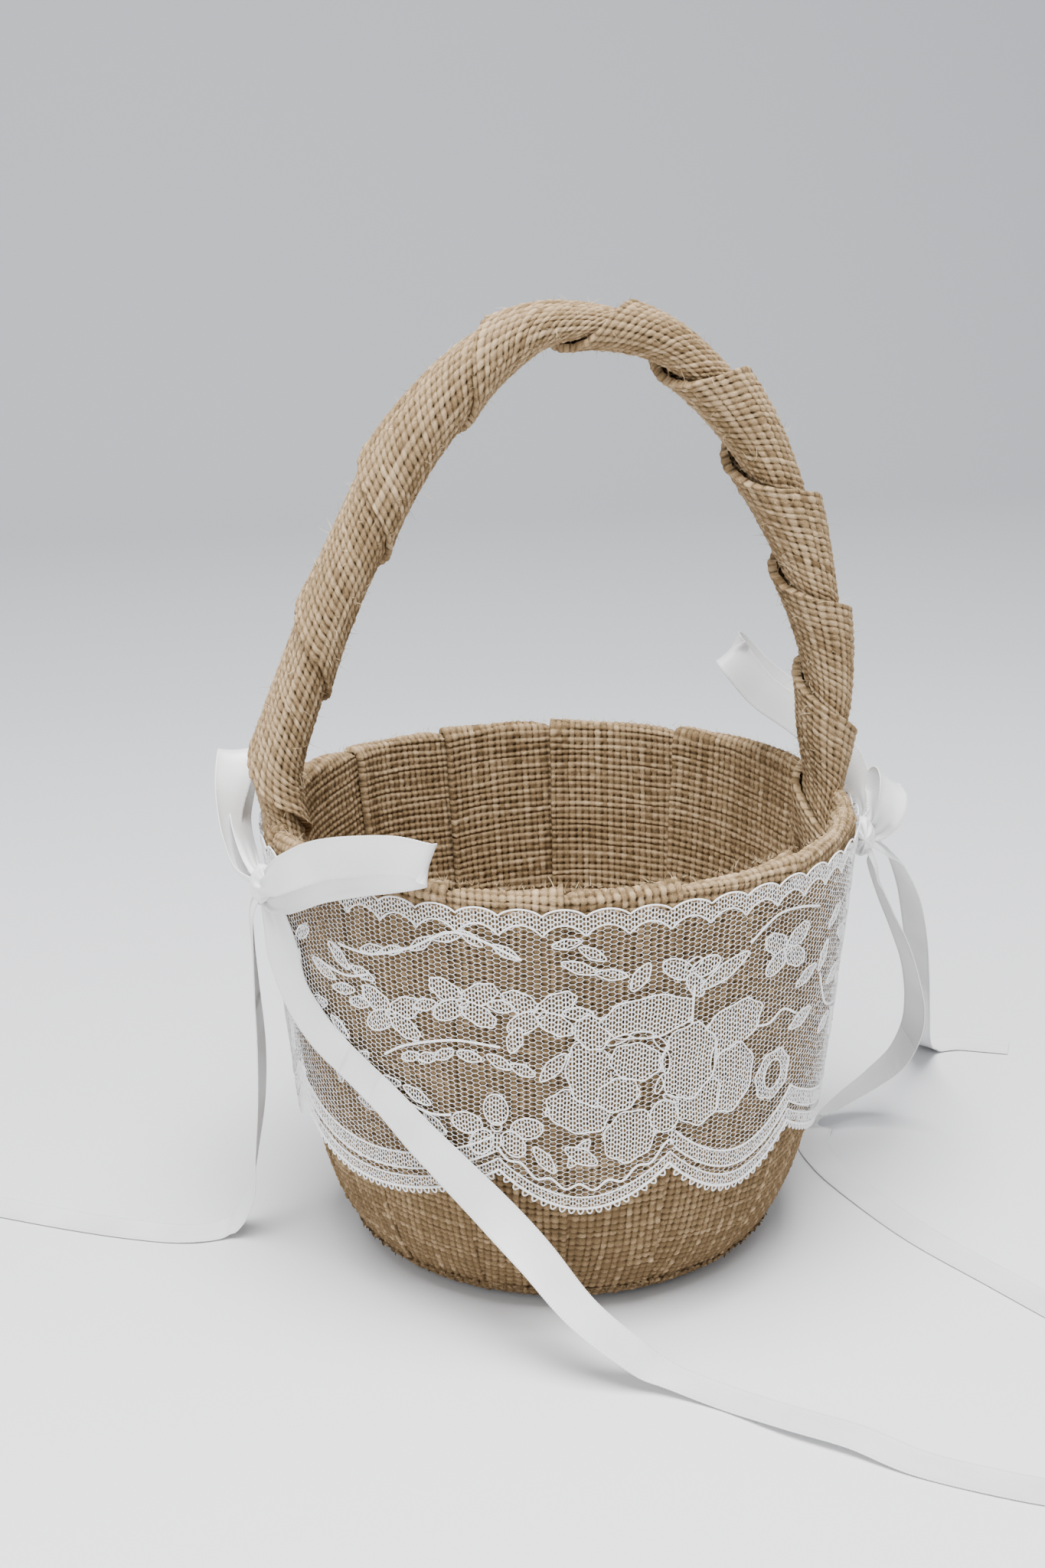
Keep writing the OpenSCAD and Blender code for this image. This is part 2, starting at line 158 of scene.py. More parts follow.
def slow_noise(rng, rows, cols, every):
    """Smooth random rows: each row wanders on its own, changing over `every` columns."""
    knots = rng.normal(size=(rows, int(cols / every) + 3))
    x = np.arange(cols) / every
    i = x.astype(int)
    f = x - i
    f = f * f * (3 - 2 * f)
    return knots[:, i] * (1 - f) + knots[:, i + 1] * f


# -------- materials
def shader(name, **constants):
    """A material with constants set on its shader's sockets."""
    mat = bpy.data.materials.new(name)
    mat.use_nodes = True
    tree = mat.node_tree
    bsdf = tree.nodes["Principled BSDF"]
    for key, value in constants.items():
        bsdf.inputs[key.replace("_", " ")].default_value = value
    return mat, tree, bsdf


def feed(tree, socket, value):
    """A constant is set on the socket, and another node's output is linked to it."""
    if isinstance(value, (int, float, tuple)):
        socket.default_value = value
    else:
        tree.links.new(value, socket)


def math_node(tree, how, a, b, clamp=False):
    n = tree.nodes.new("ShaderNodeMath")
    n.operation = how
    n.use_clamp = clamp
    feed(tree, n.inputs[0], a)
    feed(tree, n.inputs[1], b)
    return n.outputs[0]


MIX_A, MIX_B, MIX_OUT = 6, 7, 2  # the mix node's sockets for colours


def mix_colour(tree, factor, a, b):
    n = tree.nodes.new("ShaderNodeMix")
    n.data_type = "RGBA"
    feed(tree, n.inputs[0], factor)
    feed(tree, n.inputs[MIX_A], a)
    feed(tree, n.inputs[MIX_B], b)
    return n.outputs[MIX_OUT]


def cloth_uv(tree):
    n = tree.nodes.new("ShaderNodeUVMap")
    n.uv_map = "cloth"
    return n.outputs[0]


def noise(tree, coords, scale, stretch, detail=2):
    """Noise of some scale, stretched along the axes."""
    m = tree.nodes.new("ShaderNodeMapping")
    m.inputs["Scale"].default_value = stretch
    tree.links.new(coords, m.inputs["Vector"])
    n = tree.nodes.new("ShaderNodeTexNoise")
    n.inputs["Scale"].default_value = scale
    n.inputs["Detail"].default_value = detail
    tree.links.new(m.outputs[0], n.inputs["Vector"])
    return n.outputs["Fac"]


def attribute(tree, name):
    n = tree.nodes.new("ShaderNodeAttribute")
    n.attribute_name = name
    return n.outputs["Fac"]


def bump(tree, bsdf, height, strength, distance):
    n = tree.nodes.new("ShaderNodeBump")
    n.inputs["Strength"].default_value = strength
    n.inputs["Distance"].default_value = distance
    tree.links.new(height, n.inputs["Height"])
    tree.links.new(n.outputs[0], bsdf.inputs["Normal"])


def burlap_material(name, light, mid, dark, gap_shade):
    """Jute weave: each yarn has its own tone, fine twisted fibres, and painted shade in the gaps and pits
    between yarns.
    """
    mat, tree, bsdf = shader(name, Roughness=0.9, Specular_IOR_Level=0.15)
    uv = cloth_uv(tree)
    warp_fibre = noise(tree, uv, 1, (9, 1.7, 1), 3)
    weft_fibre = noise(tree, uv, 1, (1.7, 9, 1), 3)
    choice = tree.nodes.new("ShaderNodeMix")
    feed(tree, choice.inputs[0], attribute(tree, "warp"))
    feed(tree, choice.inputs[2], weft_fibre)
    feed(tree, choice.inputs[3], warp_fibre)
    fibre = choice.outputs[0]
    # the tone attribute holds each yarn's own tone plus painted shade: by height in the weave, and behind
    # the lace and towards the foot on the strips
    tone_and_painted_shade = math_node(tree, "MULTIPLY", attribute(tree, "tone"), 0.36)
    fibre_tone = math_node(tree, "MULTIPLY", math_node(tree, "SUBTRACT", fibre, 0.5), 1.7)
    tone = math_node(tree, "ADD", math_node(tree, "ADD", tone_and_painted_shade, fibre_tone), 0.5, clamp=True)
    ramp = tree.nodes.new("ShaderNodeValToRGB")
    stops = ramp.color_ramp.elements
    stops.new(0.5)
    for stop, place, colour in zip(stops, (0.12, 0.5, 0.95), (dark, mid, light)):
        stop.position = place
        stop.color = colour
    tree.links.new(tone, ramp.inputs[0])
    patches = noise(tree, uv, 0.05, (1, 1, 1))
    colour = mix_colour(tree, math_node(tree, "MULTIPLY", patches, 0.35), ramp.outputs[0], dark)
    # painted shade: the gaps and pits between the yarns are darkened towards a near-black colour
    gap = math_node(tree, "POWER", attribute(tree, "gap"), 1.2)
    colour = mix_colour(tree, gap, colour, gap_shade)
    tree.links.new(colour, bsdf.inputs["Base Color"])
    bump(tree, bsdf, fibre, 0.75, 0.0003)
    return mat


# the last colour of each is painted shade for the gaps and pits between yarns
burlap = burlap_material("burlap", (0.60, 0.44, 0.265, 1), (0.36, 0.245, 0.132, 1),
                         (0.165, 0.105, 0.050, 1), (0.014, 0.009, 0.005, 1))
burlap_inside = burlap_material("burlap_inside", (0.54, 0.39, 0.23, 1), (0.33, 0.222, 0.118, 1),
                                (0.155, 0.098, 0.045, 1), (0.014, 0.009, 0.005, 1))


def hair_material():
    """Single jute hairs, from brown to pale straw."""
    mat, tree, bsdf = shader("loose_fibre", Roughness=0.7, Specular_IOR_Level=0.2)
    tone = mix_colour(tree, attribute(tree, "tone"), (0.30, 0.20, 0.10, 1), (0.72, 0.58, 0.38, 1))
    tree.links.new(tone, bsdf.inputs["Base Color"])
    return mat


def satin_material():
    """White satin: a soft sheen running across the ribbon, broad patches of painted shade, fine ribs and
    stitched edges.
    """
    mat, tree, bsdf = shader("satin", Roughness=0.26, Specular_IOR_Level=0.9, Anisotropic=0.5)
    uv = cloth_uv(tree)
    ribs = noise(tree, uv, 1, (0.6, 7, 1))
    # painted shade: broad darker and lighter patches stand in for the shading of the satin's folds
    painted_satin_shade = noise(tree, uv, 0.06, (1.0, 1.0, 1.0), 1.0)
    colour = mix_colour(tree, painted_satin_shade, (0.66, 0.66, 0.655, 1), (0.88, 0.88, 0.88, 1))
    edge = attribute(tree, "stitch")
    colour = mix_colour(tree, math_node(tree, "MULTIPLY", edge, 0.5), colour, (0.62, 0.62, 0.62, 1))
    tree.links.new(colour, bsdf.inputs["Base Color"])
    rough = math_node(tree, "ADD", math_node(tree, "MULTIPLY", ribs, 0.16), 0.30)
    tree.links.new(rough, bsdf.inputs["Roughness"])
    bump(tree, bsdf, ribs, 0.22, 0.00012)
    return mat


def lace_material():
    """White lace thread: matt, slightly uneven, with a twisted grain."""
    mat, tree, bsdf = shader("lace", Roughness=0.70, Specular_IOR_Level=0.2)
    uv = cloth_uv(tree)
    grain = noise(tree, uv, 1, (5, 5, 1))
    colour = mix_colour(tree, grain, (0.74, 0.74, 0.75, 1), (0.90, 0.90, 0.91, 1))
    colour = mix_colour(tree, attribute(tree, "shade"), colour, (0.42, 0.41, 0.41, 1))
    tree.links.new(colour, bsdf.inputs["Base Color"])
    bump(tree, bsdf, grain, 0.5, 0.0001)
    return mat


def board_material():
    """Stiff brown board, for the parts that the burlap hides."""
    mat, tree, bsdf = shader("board", Roughness=0.8)
    place = tree.nodes.new("ShaderNodeTexCoord").outputs["Object"]
    grain = noise(tree, place, 300, (1, 1, 1))
    colour = mix_colour(tree, grain, (0.10, 0.065, 0.035, 1), (0.16, 0.105, 0.055, 1))
    tree.links.new(colour, bsdf.inputs["Base Color"])
    return mat


def floor_material():
    """Matt paper with painted shade: pale in front and a cooler grey towards the top of the backdrop,
    where less light falls.
    """
    mat, tree, bsdf = shader("floor", Roughness=0.9, Specular_IOR_Level=0.1)
    colour = mix_colour(tree, attribute(tree, "rise"), (0.81, 0.81, 0.815, 1), (0.55, 0.562, 0.588, 1))
    tree.links.new(colour, bsdf.inputs["Base Color"])
    return mat


hair = hair_material()
satin = satin_material()
lace_thread = lace_material()

# -------- ribbons
# Routes as [x, y, z] and the direction the ribbon's width lies in there, in mm.
TAIL_LF = (
    (-74.5, -19.5, 95, 0.8, -0.5, 0.3), (-71.5, -24, 80, 0.6, -0.6, 0.5),
    (-66.5, -33, 71.5, 0.5, -0.5, 0.7), (-60, -41.5, 65.5, 0.4, -0.5, 0.8),
    (-53, -49.5, 59.5, 0.4, -0.4, 0.8), (-46, -56, 52, 0.5, -0.3, 0.8),
    (-38.5, -62, 44.5, 0.6, -0.2, 0.7), (-31, -68, 37, 0.7, 0, 0.7),
    (-22.5, -75.5, 28, 0.8, 0.3, 0.4), (-13.5, -83, 17, 0.8, 0.5, 0.2),
    (-3.5, -88, 8.5, 0.8, 0.6, 0.1), (5, -91, 3, 0.7, 0.7, 0), (17, -100, 0.6, 0.6, 0.8, 0),
    (28.5, -113, 1.8, 0.7, 0.7, 0), (39.5, -123, 2, 0.7, 0.7, 0), (50, -133, 0.6, 0.6, 0.8, 0),
    (63.5, -143, 0.5, 0.6, 0.8, 0), (77, -151, 0.5, 0.5, 0.9, 0), (96, -160, 0.5, 0.4, 0.9, 0))
TAIL_LS = (
    (-79.5, -13.5, 96.5, 0.1, 1, 0), (-79.5, -9, 85, 0.1, 1, 0), (-79, -5, 70, 0.2, 1, 0),
    (-78.5, -3, 55, 0.3, 1, 0), (-79, -1, 40, 0.3, 1, 0), (-80.5, 1, 26, 0.2, 1, 0),
    (-82.5, 3, 12, 0, 1, 0), (-88.5, 6, 1.8, -0.1, 1, 0), (-99, 6, 0.6, -0.1, 1, 0),
    (-112, 11, 0.5, 0.3, 1, 0), (-128.5, 20, 0.5, 0.5, 0.9, 0),
    (-148.5, 32.5, 0.5, 0.5, 0.8, 0), (-166, 43, 0.5, 0.5, 0.8, 0))
TAIL_RF = (
    (80, -13, 96, 0.2, 1, 0), (83, -7, 90, 0.1, 1, 0), (89, 0, 79, 0, 1, 0),
    (95, 5, 68, -0.1, 1, 0), (101, 11, 55, -0.1, 1, 0), (105.5, 18, 42, -0.2, 1, 0),
    (107, 24, 31, -0.2, 1, 0), (105, 29, 21, -0.2, 1, 0), (99, 33, 13, -0.1, 1, 0),
    (91, 34, 7, 0.2, 1, 0), (83, 31, 2.5, 0.6, 0.8, 0), (78, 22, 0.6, 1, 0.3, 0),
    (77.5, 8, 0.5, 1, 0, 0), (80, -8, 0.5, 1, 0.2, 0), (87.5, -36, 0.5, 0.9, 0.4, 0),
    (98.5, -62, 0.5, 0.9, 0.4, 0), (110, -88, 0.5, 0.9, 0.4, 0), (121, -108, 0.5, 0.9, 0.4, 0))
TAIL_RB = (
    (83, -10.5, 99, 0.2, 1, 0), (90, -2, 93, 0, 1, 0), (99, 10, 79, -0.2, 1, 0),
    (107, 24, 62, -0.3, 1, 0), (114, 38, 44, -0.3, 1, 0), (120, 52, 26, -0.4, 0.9, 0),
    (126, 66, 10, -0.5, 0.8, 0), (133, 77, 1.6, -0.6, 0.8, 0), (143, 79, 0.6, 0, 1, 0),
    (151, 76, 0.5, 0.3, 1, 0), (159, 72, 0.5, 0.3, 1, 0))
LOOP_LF = (
    (-77, -22, 106, 0.3, -0.2, 0.9), (-72.5, -36, 113, 0.2, 0, 1), (-66, -46, 118.5, 0.1, -0.1, 1),
    (-58.2, -56, 122.2, 0.1, -0.2, 1), (-50.6, -63.5, 124, 0.2, -0.2, 1),
    (-45.3, -66.6, 123.4, 0.3, -0.2, 1), (-43.6, -65, 122.2, 0.3, -0.1, 1),
    (-45.2, -62.2, 120.6, 0.3, 0, 1), (-50.1, -58.5, 118.8, 0.2, 0.1, 1),
    (-57.8, -51.5, 116, 0.1, 0.2, 1), (-65, -42, 111.8, 0.1, 0.3, 1),
    (-70.5, -33, 106.8, 0.2, 0.2, 1), (-75.5, -21, 101.5, 0.3, -0.2, 0.9))
LOOP_LB = (
    (-81.5, -8, 105, 0.4, 0.6, -0.3), (-82.8, -1, 111, 0.5, 0.6, -0.4),
    (-82.8, 4.5, 118, 0.6, 0.5, -0.3), (-81, 10, 125, 0.9, 0.3, 0), (-79.8, 14, 129, 1, 0.1, 0),
    (-79.1, 17.5, 128.4, 1, 0.1, 0), (-79.2, 17.8, 123, 0.9, 0.3, 0),
    (-80.2, 9, 114.5, 0.5, 0.6, -0.4), (-79.2, -7, 107.5, 0.4, 0.6, -0.3))
LOOP_RF = (
    (81.2, -13.5, 104.5, 0.7, -0.3, -0.5), (82.6, -15.6, 108, 0.8, -0.2, -0.6),
    (83.6, -16, 112, 0.85, 0, -0.6), (84.2, -14.5, 115.8, 0.85, 0.1, -0.7),
    (84.4, -11.5, 117.8, 0.85, 0.1, -0.7), (84.1, -8.5, 117, 0.85, 0.1, -0.7),
    (83.2, -7, 113, 0.8, 0.2, -0.6), (82, -8, 109.5, 0.7, 0.4, -0.5),
    (80.8, -9.5, 106, 0.6, 0.5, -0.4))
LOOP_RB = (
    (79.5, -7.5, 104.5, 0.3, 0.4, 0.8), (80.5, 8, 111.5, 0.4, 0.2, 0.9),
    (78.5, 20, 121.5, 0.6, 0.2, 0.7), (69.5, 27.5, 130.4, 0.6, 0.2, 0.7),
    (61.5, 30.5, 137.4, 0.6, 0.2, 0.7), (56, 31, 143.6, 0.6, 0.2, 0.7),
    (54, 29.2, 144, 0.6, 0.2, 0.7), (54.8, 27, 141.6, 0.6, 0.2, 0.7),
    (61.5, 24.5, 133.2, 0.6, 0.2, 0.7), (70.5, 19.5, 126.5, 0.6, 0.2, 0.7),
    (79.5, 10.5, 118, 0.5, 0.2, 0.8), (79.8, -6, 109, 0.3, 0.4, 0.8))

HALF = np.array((0.3, 0.6, 0.83, 0.87, 0.91, 0.95, 0.985, 1))
ACROSS = np.r_[-HALF[::-1], 0, HALF]  # points across a ribbon, closest at its edges
STITCH = 0.62  # spacing of the edge stitches
RIBBON_STEP = STITCH / 4
KNOT_Z, LEFT_KNOT, RIGHT_KNOT = 103.0, -169, -9
KNOT_LIFT = 3.8  # from the lace to the middle of a knot
TAIL_PINCH, LOOP_PINCH = 16, 17  # length over which a ribbon is gathered at its knot


def knot_centre(direction):
    r, a = float(lace_r(KNOT_Z)) + KNOT_LIFT, math.radians(direction)
    return np.array((r * math.cos(a), r * math.sin(a), KNOT_Z))


def ribbon(name, route, gather=(0, 0)):
    """A satin ribbon along a route; `gather` is how far it is pinched from each end, in mm."""
    route = np.array(route, float)
    heart = knot_centre(LEFT_KNOT if route[0, 0] < 0 else RIGHT_KNOT)
    ends = [np.r_[heart + 0.12 * (row[:3] - heart), row[3:]] for row in (route[0], route[-1])]
    route = np.vstack([ends[0], route] + ([ends[1]] if gather[1] else []))
    p, s = resample(smooth_curve(route, 12), RIBBON_STEP)
    c = p[:, :3].copy()
    t = unit(np.gradient(c, axis=0))
    w = p[:, 3:] - (p[:, 3:] * t).sum(1, keepdims=True) * t
    flat = np.clip((3.0 - c[:, 2]) / 1.5, 0, 1)[:, None]
    w = unit(w * (1 - flat) + flat * w * (1, 1, 0))  # level where it lies on the surface
    n = np.cross(t, w)
    if c[-1, 2] < 3:  # a tail that ends on the surface keeps the same side up
        n *= np.where(n[:, 2:3] < 0, -1, 1)
    m = len(ACROSS)
    pinch = np.ones(len(c))
    for end, reach in ((s, gather[0]), (s[-1] - s, gather[1])):
        if reach:
            pinch *= 0.38 + 0.62 * np.clip(end / reach, 0, 1) ** 0.8
    crease = (1 - pinch)[:, None] * 1.5 * np.sin(ACROSS * 7.0)[None]
    bow = 0.35 * (1 - ACROSS ** 2)[None] * (1 - flat)
    aside = np.abs(ACROSS)
    edge = np.clip((aside - 0.83) / 0.06, 0, 1) * np.clip((1 - aside) / 0.02, 0, 1)
    ripple = 0.5 + 0.5 * np.cos(2 * math.pi * s / STITCH)
    thick = RIBBON_T / 2 + 0.10 * edge[None] * ripple[:, None]
    scalloped = 0.10 * ripple[:, None] * np.sign(ACROSS) * (aside > 0.96)
    reach = RIBBON_W / 2 * pinch[:, None] * ACROSS[None] + scalloped
    mid = c[:, None] + w[:, None] * reach[..., None] + n[:, None] * (crease + bow)[..., None]
    lift = np.maximum(0, RIBBON_T / 2 + 0.12 - (mid[..., 2] - thick * np.abs(n[:, None, 2])))
    mid[..., 2] += lift
    top = mid + n[:, None] * thick[..., None]
    low = mid - n[:, None] * thick[..., None]
    ring = np.concatenate([top, low[:, ::-1]], 1)
    rows, k = len(c), 2 * m
    i, j = np.meshgrid(np.arange(rows - 1), np.arange(k), indexing="ij")
    here, beside = (i * k + j).ravel(), (i * k + (j + 1) % k).ravel()
    quads = np.stack([here, beside, beside + k, here + k], 1)
    q = np.arange(m - 1)
    start_cap = np.stack([q, k - 1 - q, k - 2 - q, q + 1], 1)
    end_cap = (rows - 1) * k + start_cap[:, (0, 3, 2, 1)]
    u = np.concatenate([ACROSS, ACROSS[::-1]]) * RIBBON_W / 2
    uv = np.stack([np.broadcast_to(u, (rows, k)), np.broadcast_to(s[:, None], (rows, k))], -1)
    stitch = np.concatenate([edge, edge[::-1]])[None] * (1 - ripple[:, None])
    obj = mesh_object(name, ring.reshape(-1, 3), np.vstack([quads, start_cap, end_cap]), satin,
                      uv.reshape(-1, 2), {"stitch": stitch.ravel()})
    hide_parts(name)
    on_basket(obj)
    return obj, c, s[-1]


def free_tail(name, route):
    """A ribbon from a knot to its cut end."""
    obj, c, length = ribbon(name, route, (TAIL_PINCH, 0))


for tail_name, tail_route in (("left_front_tail", TAIL_LF), ("left_side_tail", TAIL_LS),
                              ("right_front_tail", TAIL_RF), ("right_back_tail", TAIL_RB)):
    free_tail(tail_name, tail_route)
for loop_name, loop_route in (("left_front_loop", LOOP_LF), ("left_back_loop", LOOP_LB),
                              ("right_front_loop", LOOP_RF), ("right_back_loop", LOOP_RB)):
    ribbon(loop_name, loop_route, (LOOP_PINCH, LOOP_PINCH))


def knot(name, direction):
    """A ribbon pulled tight over the bow: a pinched, pleated lump with a band across it."""
    rows, cols = 120, 80
    a = np.linspace(0, 2 * math.pi, rows, endpoint=False)[:, None]
    u = np.linspace(-1, 1, cols)[None]
    close = np.clip(1 - u ** 2, 0, 1) ** 0.55
    pleat = 0.13 * np.sin(6 * a + 2.0 * u) + 0.08 * np.sin(11 * a - 1.5 * u)
    band = 0.22 * np.exp(-((u - 0.05 * np.sin(2 * a)) / 0.42) ** 4)
    rib = 0.04 * np.sin(u * 22 + np.sin(a)) * np.exp(-(u / 0.42) ** 4)
    r = close * (0.86 + pleat * (1 - np.exp(-(u / 0.4) ** 2)) + band + rib)
    out, z = 3.1 * r * np.cos(a), 4.7 * r * np.sin(a) - 0.5 * u
    along = 5.2 * u
    heart, turn = knot_centre(direction), math.radians(direction)
    x = heart[0] + out * math.cos(turn) - along * math.sin(turn)
    y = heart[1] + out * math.sin(turn) + along * math.cos(turn)
    pts = np.stack([x, y, heart[2] + z], -1).reshape(-1, 3)
    uv = np.stack(np.broadcast_arrays(u * 4.4, a * 4.5), -1).reshape(-1, 2)
    obj = mesh_object(name, pts, grid_faces(rows, cols, wrap=True), satin, uv,
                      {"stitch": np.zeros(rows * cols)})
    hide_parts(name)
    on_basket(obj)


knot("left_knot", LEFT_KNOT)
knot("right_knot", RIGHT_KNOT)


# -------- burlap
def yarn_top(q):
    """How high a round yarn's surface is at a place across it, from 0 to 1."""
    return np.sqrt(np.clip(1 - (2 * q - 1) ** 2, 0, 1))


def weave(rows, cols, seed):
    """A plain weave: its height, painted gap shade, warp share and tone, and how far its points wander."""
    rng = np.random.default_rng(seed)
    rise, body = 0.38, 0.56  # height of a yarn's wave, half a yarn
    warps, wefts = cols // PER_YARN + 2, rows // PER_YARN + 2
    i, j = np.arange(rows)[:, None], np.arange(cols)[None]
    x, y = j / PER_YARN, i / PER_YARN
    m, n = np.floor(x).astype(int), np.floor(y).astype(int)  # which warp and which weft
    f, g = x - m, y - n
    warp_t = slow_noise(rng, warps, rows, 9 * PER_YARN).T[i, m]
    weft_t = slow_noise(rng, wefts, cols, 9 * PER_YARN)[n, j]
    warp_tone = slow_noise(rng, warps, rows, 6 * PER_YARN).T * 0.40 + rng.normal(size=warps)[None] * 0.28
    weft_tone = slow_noise(rng, wefts, cols, 6 * PER_YARN) * 0.40 + rng.normal(size=wefts)[:, None] * 0.28
    h_warp = rise * np.cos(math.pi * (y - 0.5)) * (-1.0) ** m + body * yarn_top(f) * (1 + 0.16 * warp_t)
    h_weft = -rise * np.cos(math.pi * (x - 0.5)) * (-1.0) ** n + body * yarn_top(g) * (1 + 0.16 * weft_t)
    h = np.maximum(h_warp, h_weft)
    pit = (f == 0) & (g == 0)
    depth = np.clip(0.75 + 0.35 * rng.normal(size=(rows, cols)), 0.15, 1.2)
    h = np.where(pit, -0.60 * depth, h)
    # painted shade: yarn edges get some, and pits get the most, by their depth
    edge = ((f == 0) | (g == 0)) & ~pit
    gap = np.where(edge, 0.42 + 0.10 * rng.normal(size=(rows, cols)), 0.0)
    gap = np.where(pit, np.clip(depth, 0, 1), gap)
    warp = (h_warp > h_weft).astype(float)
    # the tone is each yarn's own, plus painted shade by height: low parts darker, tops lighter
    tone = np.where(warp > 0.5, warp_tone[i, m], weft_tone[n, j]) + 1.3 * (h - 0.6)
    jx = slow_noise(rng, warps, rows, 5 * PER_YARN).T[i, m] * 0.16
    jy = slow_noise(rng, wefts, cols, 5 * PER_YARN)[n, j] * 0.18
    return h + 0.04 * rng.normal(size=h.shape), gap, warp, tone, jx, jy


def burlap_piece(name, material, points, faces, uv, gap, warp, tone):
    """A burlap mesh of the points that its faces use, which it returns."""
    used, index = np.unique(faces, return_inverse=True)
    points = points.reshape(-1, 3)[used]
    values = {"gap": gap.ravel()[used], "warp": warp.ravel()[used], "tone": tone.ravel()[used]}
    obj = mesh_object(name, points, index.reshape(faces.shape), material, uv.reshape(-1, 2)[used], values)
    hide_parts(name)
    on_basket(obj)
    return points


SIDE_ROWS = 160


def wall_profile():
    """The fold of one strip from the base outside, over the rim and down inside, as r and z."""
    z_out = np.linspace(0.8, LIP_Z, SIDE_ROWS)
    mid = wall_r(LIP_Z) - WALL / 2
    a = np.linspace(0, math.pi, 30)[1:-1]
    z_in = np.linspace(LIP_Z, 6.0, SIDE_ROWS)
    half = WALL / 2 - 0.4
    r = np.concatenate([wall_r(z_out) - 0.4, mid + half * np.cos(a), wall_r(z_in) - WALL + 0.4])
    z = np.concatenate([z_out, LIP_Z + half * np.sin(a), z_in])
    p = np.stack([r, z], 1)
    s = np.r_[0, np.cumsum(np.linalg.norm(np.diff(p, axis=0), axis=1))]
    return p, s


PROFILE, PROFILE_S = wall_profile()
LIP_S = PROFILE_S[SIDE_ROWS - 1]  # length of the fold up to where the rim's edge starts
SKEW_ROOM = 12.0  # spare length at both ends, for a strip laid on at a slant
SKEWS = (0.04, -0.08, 0.10, 0.03, -0.05, 0.06, -0.12)
STRIP_R, STRIP_SPARE = 74.5, 3.0  # the radius a strip is cut for, and its spare width
TUCK = 2.2 / 72  # how far a strip reaches under the next, in radians


def fold(s):
    """Radius and height of the fold at a length along it."""
    return np.interp(s, PROFILE_S, PROFILE[:, 0]), np.interp(s, PROFILE_S, PROFILE[:, 1])


def panel(name, k):
    """One burlap strip: folded over the rim, its free edge lying over the next strip."""
    lo_edge, hi_edge = math.radians(STRIP_EDGES[k - 1]), math.radians(STRIP_EDGES[k])
    rng = np.random.default_rng(500 + k)
    rows = int((PROFILE_S[-1] + 2 * SKEW_ROOM) / CELL) + 1
    b = np.arange(rows) * CELL - SKEW_ROOM
    r0, z0 = fold(b)
    nr, nz = outward(r0, z0)
    width = (hi_edge - lo_edge) * STRIP_R + STRIP_SPARE
    cols = int(width / CELL) + 2
    h, gap, warp, tone, jx, jy = weave(rows, cols, 100 + k)
    a = np.arange(cols)[None] * CELL + jx
    a[:, 0] = a[:, 1] - 0.25
    free = b[:, None] + jy + SKEWS[k % len(SKEWS)] * (a - width / 2)
    bb = np.clip(free, 0, PROFILE_S[-1])  # length along the fold
    r, z = fold(bb)
    nr, nz = np.interp(bb, b, nr), np.interp(bb, b, nz)
    az = hi_edge - a / np.interp(bb, b, r0)
    share = np.clip((az - lo_edge) / (hi_edge - lo_edge), -0.2, 1)
    # one edge stands up over the next strip and the other is pressed down, most of all inside
    over = np.clip((share - 0.55) / 0.45, 0, 1)
    under = np.clip((0.12 - share) / 0.12, 0, 1)
    past = bb - LIP_S
    inward = np.clip(past / 8, 0, 1)
    low_out = np.clip(-past / 50, 0, 1) * (1 - inward)
    strength = 0.95 - 0.60 * low_out + 1.15 * inward
    lift = strength * over ** 1.8 - (0.55 + 0.30 * inward - 0.2 * low_out) * under
    # over the rim the cloth puffs up between its edges, more at the back, and it is wavy everywhere
    swell = np.exp(-(past / 7.0) ** 2)
    puff = np.sin(math.pi * np.clip(share, 0, 1)) ** 0.6
    wave = slow_noise(rng, 1, cols, 30)[0][None] * 0.35
    rear = 1.0 if 2 <= k <= 6 else 0.25
    lift = lift + swell * (0.8 * rear * puff - 0.4 + 0.5 * wave)
    lift = lift + 0.25 * slow_noise(rng, 1, rows, 60)[0][:, None] * (0.4 + 0.6 * puff)
    # it is drawn in at its foot, and its free edge bends down to the cloth below
    foot = np.clip(bb / 7, 0, 1)
    h = 0.95 * h + lift * foot - 0.35 - 1.6 * (1 - foot) ** 3
    h[:, 0] = h[:, 1] - 0.5 - 0.9 * (strength[:, 0] - 0.2)
    q = r + nr * h
    zz = z + nz * h + swell * (rear * (0.7 * puff - 0.45) - (1 - rear) * 0.9)
    zz = np.maximum(zz, 0.15)
    pts = np.stack([q * np.cos(az), q * np.sin(az), zz], -1)
    # painted shade: darker behind the lace, standing in for its shadow, and towards the foot, where less
    # light reaches, partly dust; a little darker inside
    outside = np.clip((LACE_TOP - 1 - zz) / 2, 0, 1) * (bb < LIP_S)
    tone = tone - outside * (0.90 + 0.35 * np.clip((40 - zz) / 40, 0, 1)
                             + 0.40 * np.clip((zz - 46) / 6, 0, 1)) - 0.30 * inward
    keep = (az > lo_edge - TUCK) & (free > -0.5) & (free < PROFILE_S[-1] + 0.5)
    uv = np.stack([a + 40 * k, bb + 31 * k], -1)
    burlap_piece(name, burlap, pts, grid_faces(rows, cols, keep)[:, ::-1], uv, gap, warp, tone)


for number in range(1, len(STRIP_EDGES)):
    panel("wrap_strip_%02d" % number, number)


def disc(name, radius, z, seed, facing):
    """A round of burlap lying flat, at the bottom of the bowl (facing 1) or under it (-1)."""
    n = int(2 * radius / CELL) + 3
    h, gap, warp, tone, jx, jy = weave(n, n, seed)
    g = (np.arange(n) - n / 2) * CELL
    x, y = g[None] + jx, g[:, None] + jy
    pts = np.stack([x, y, z + facing * (h - 0.45)], -1)
    faces = grid_faces(n, n, np.hypot(x, y) < radius)[:, ::-facing]
    burlap_piece(name, burlap_inside, pts, faces, np.stack([x, y], -1), gap, warp, tone)


disc("lining_disc", 56.0, 6.4, 70, 1)
disc("base_patch", 47.5, 0.75, 71, -1)

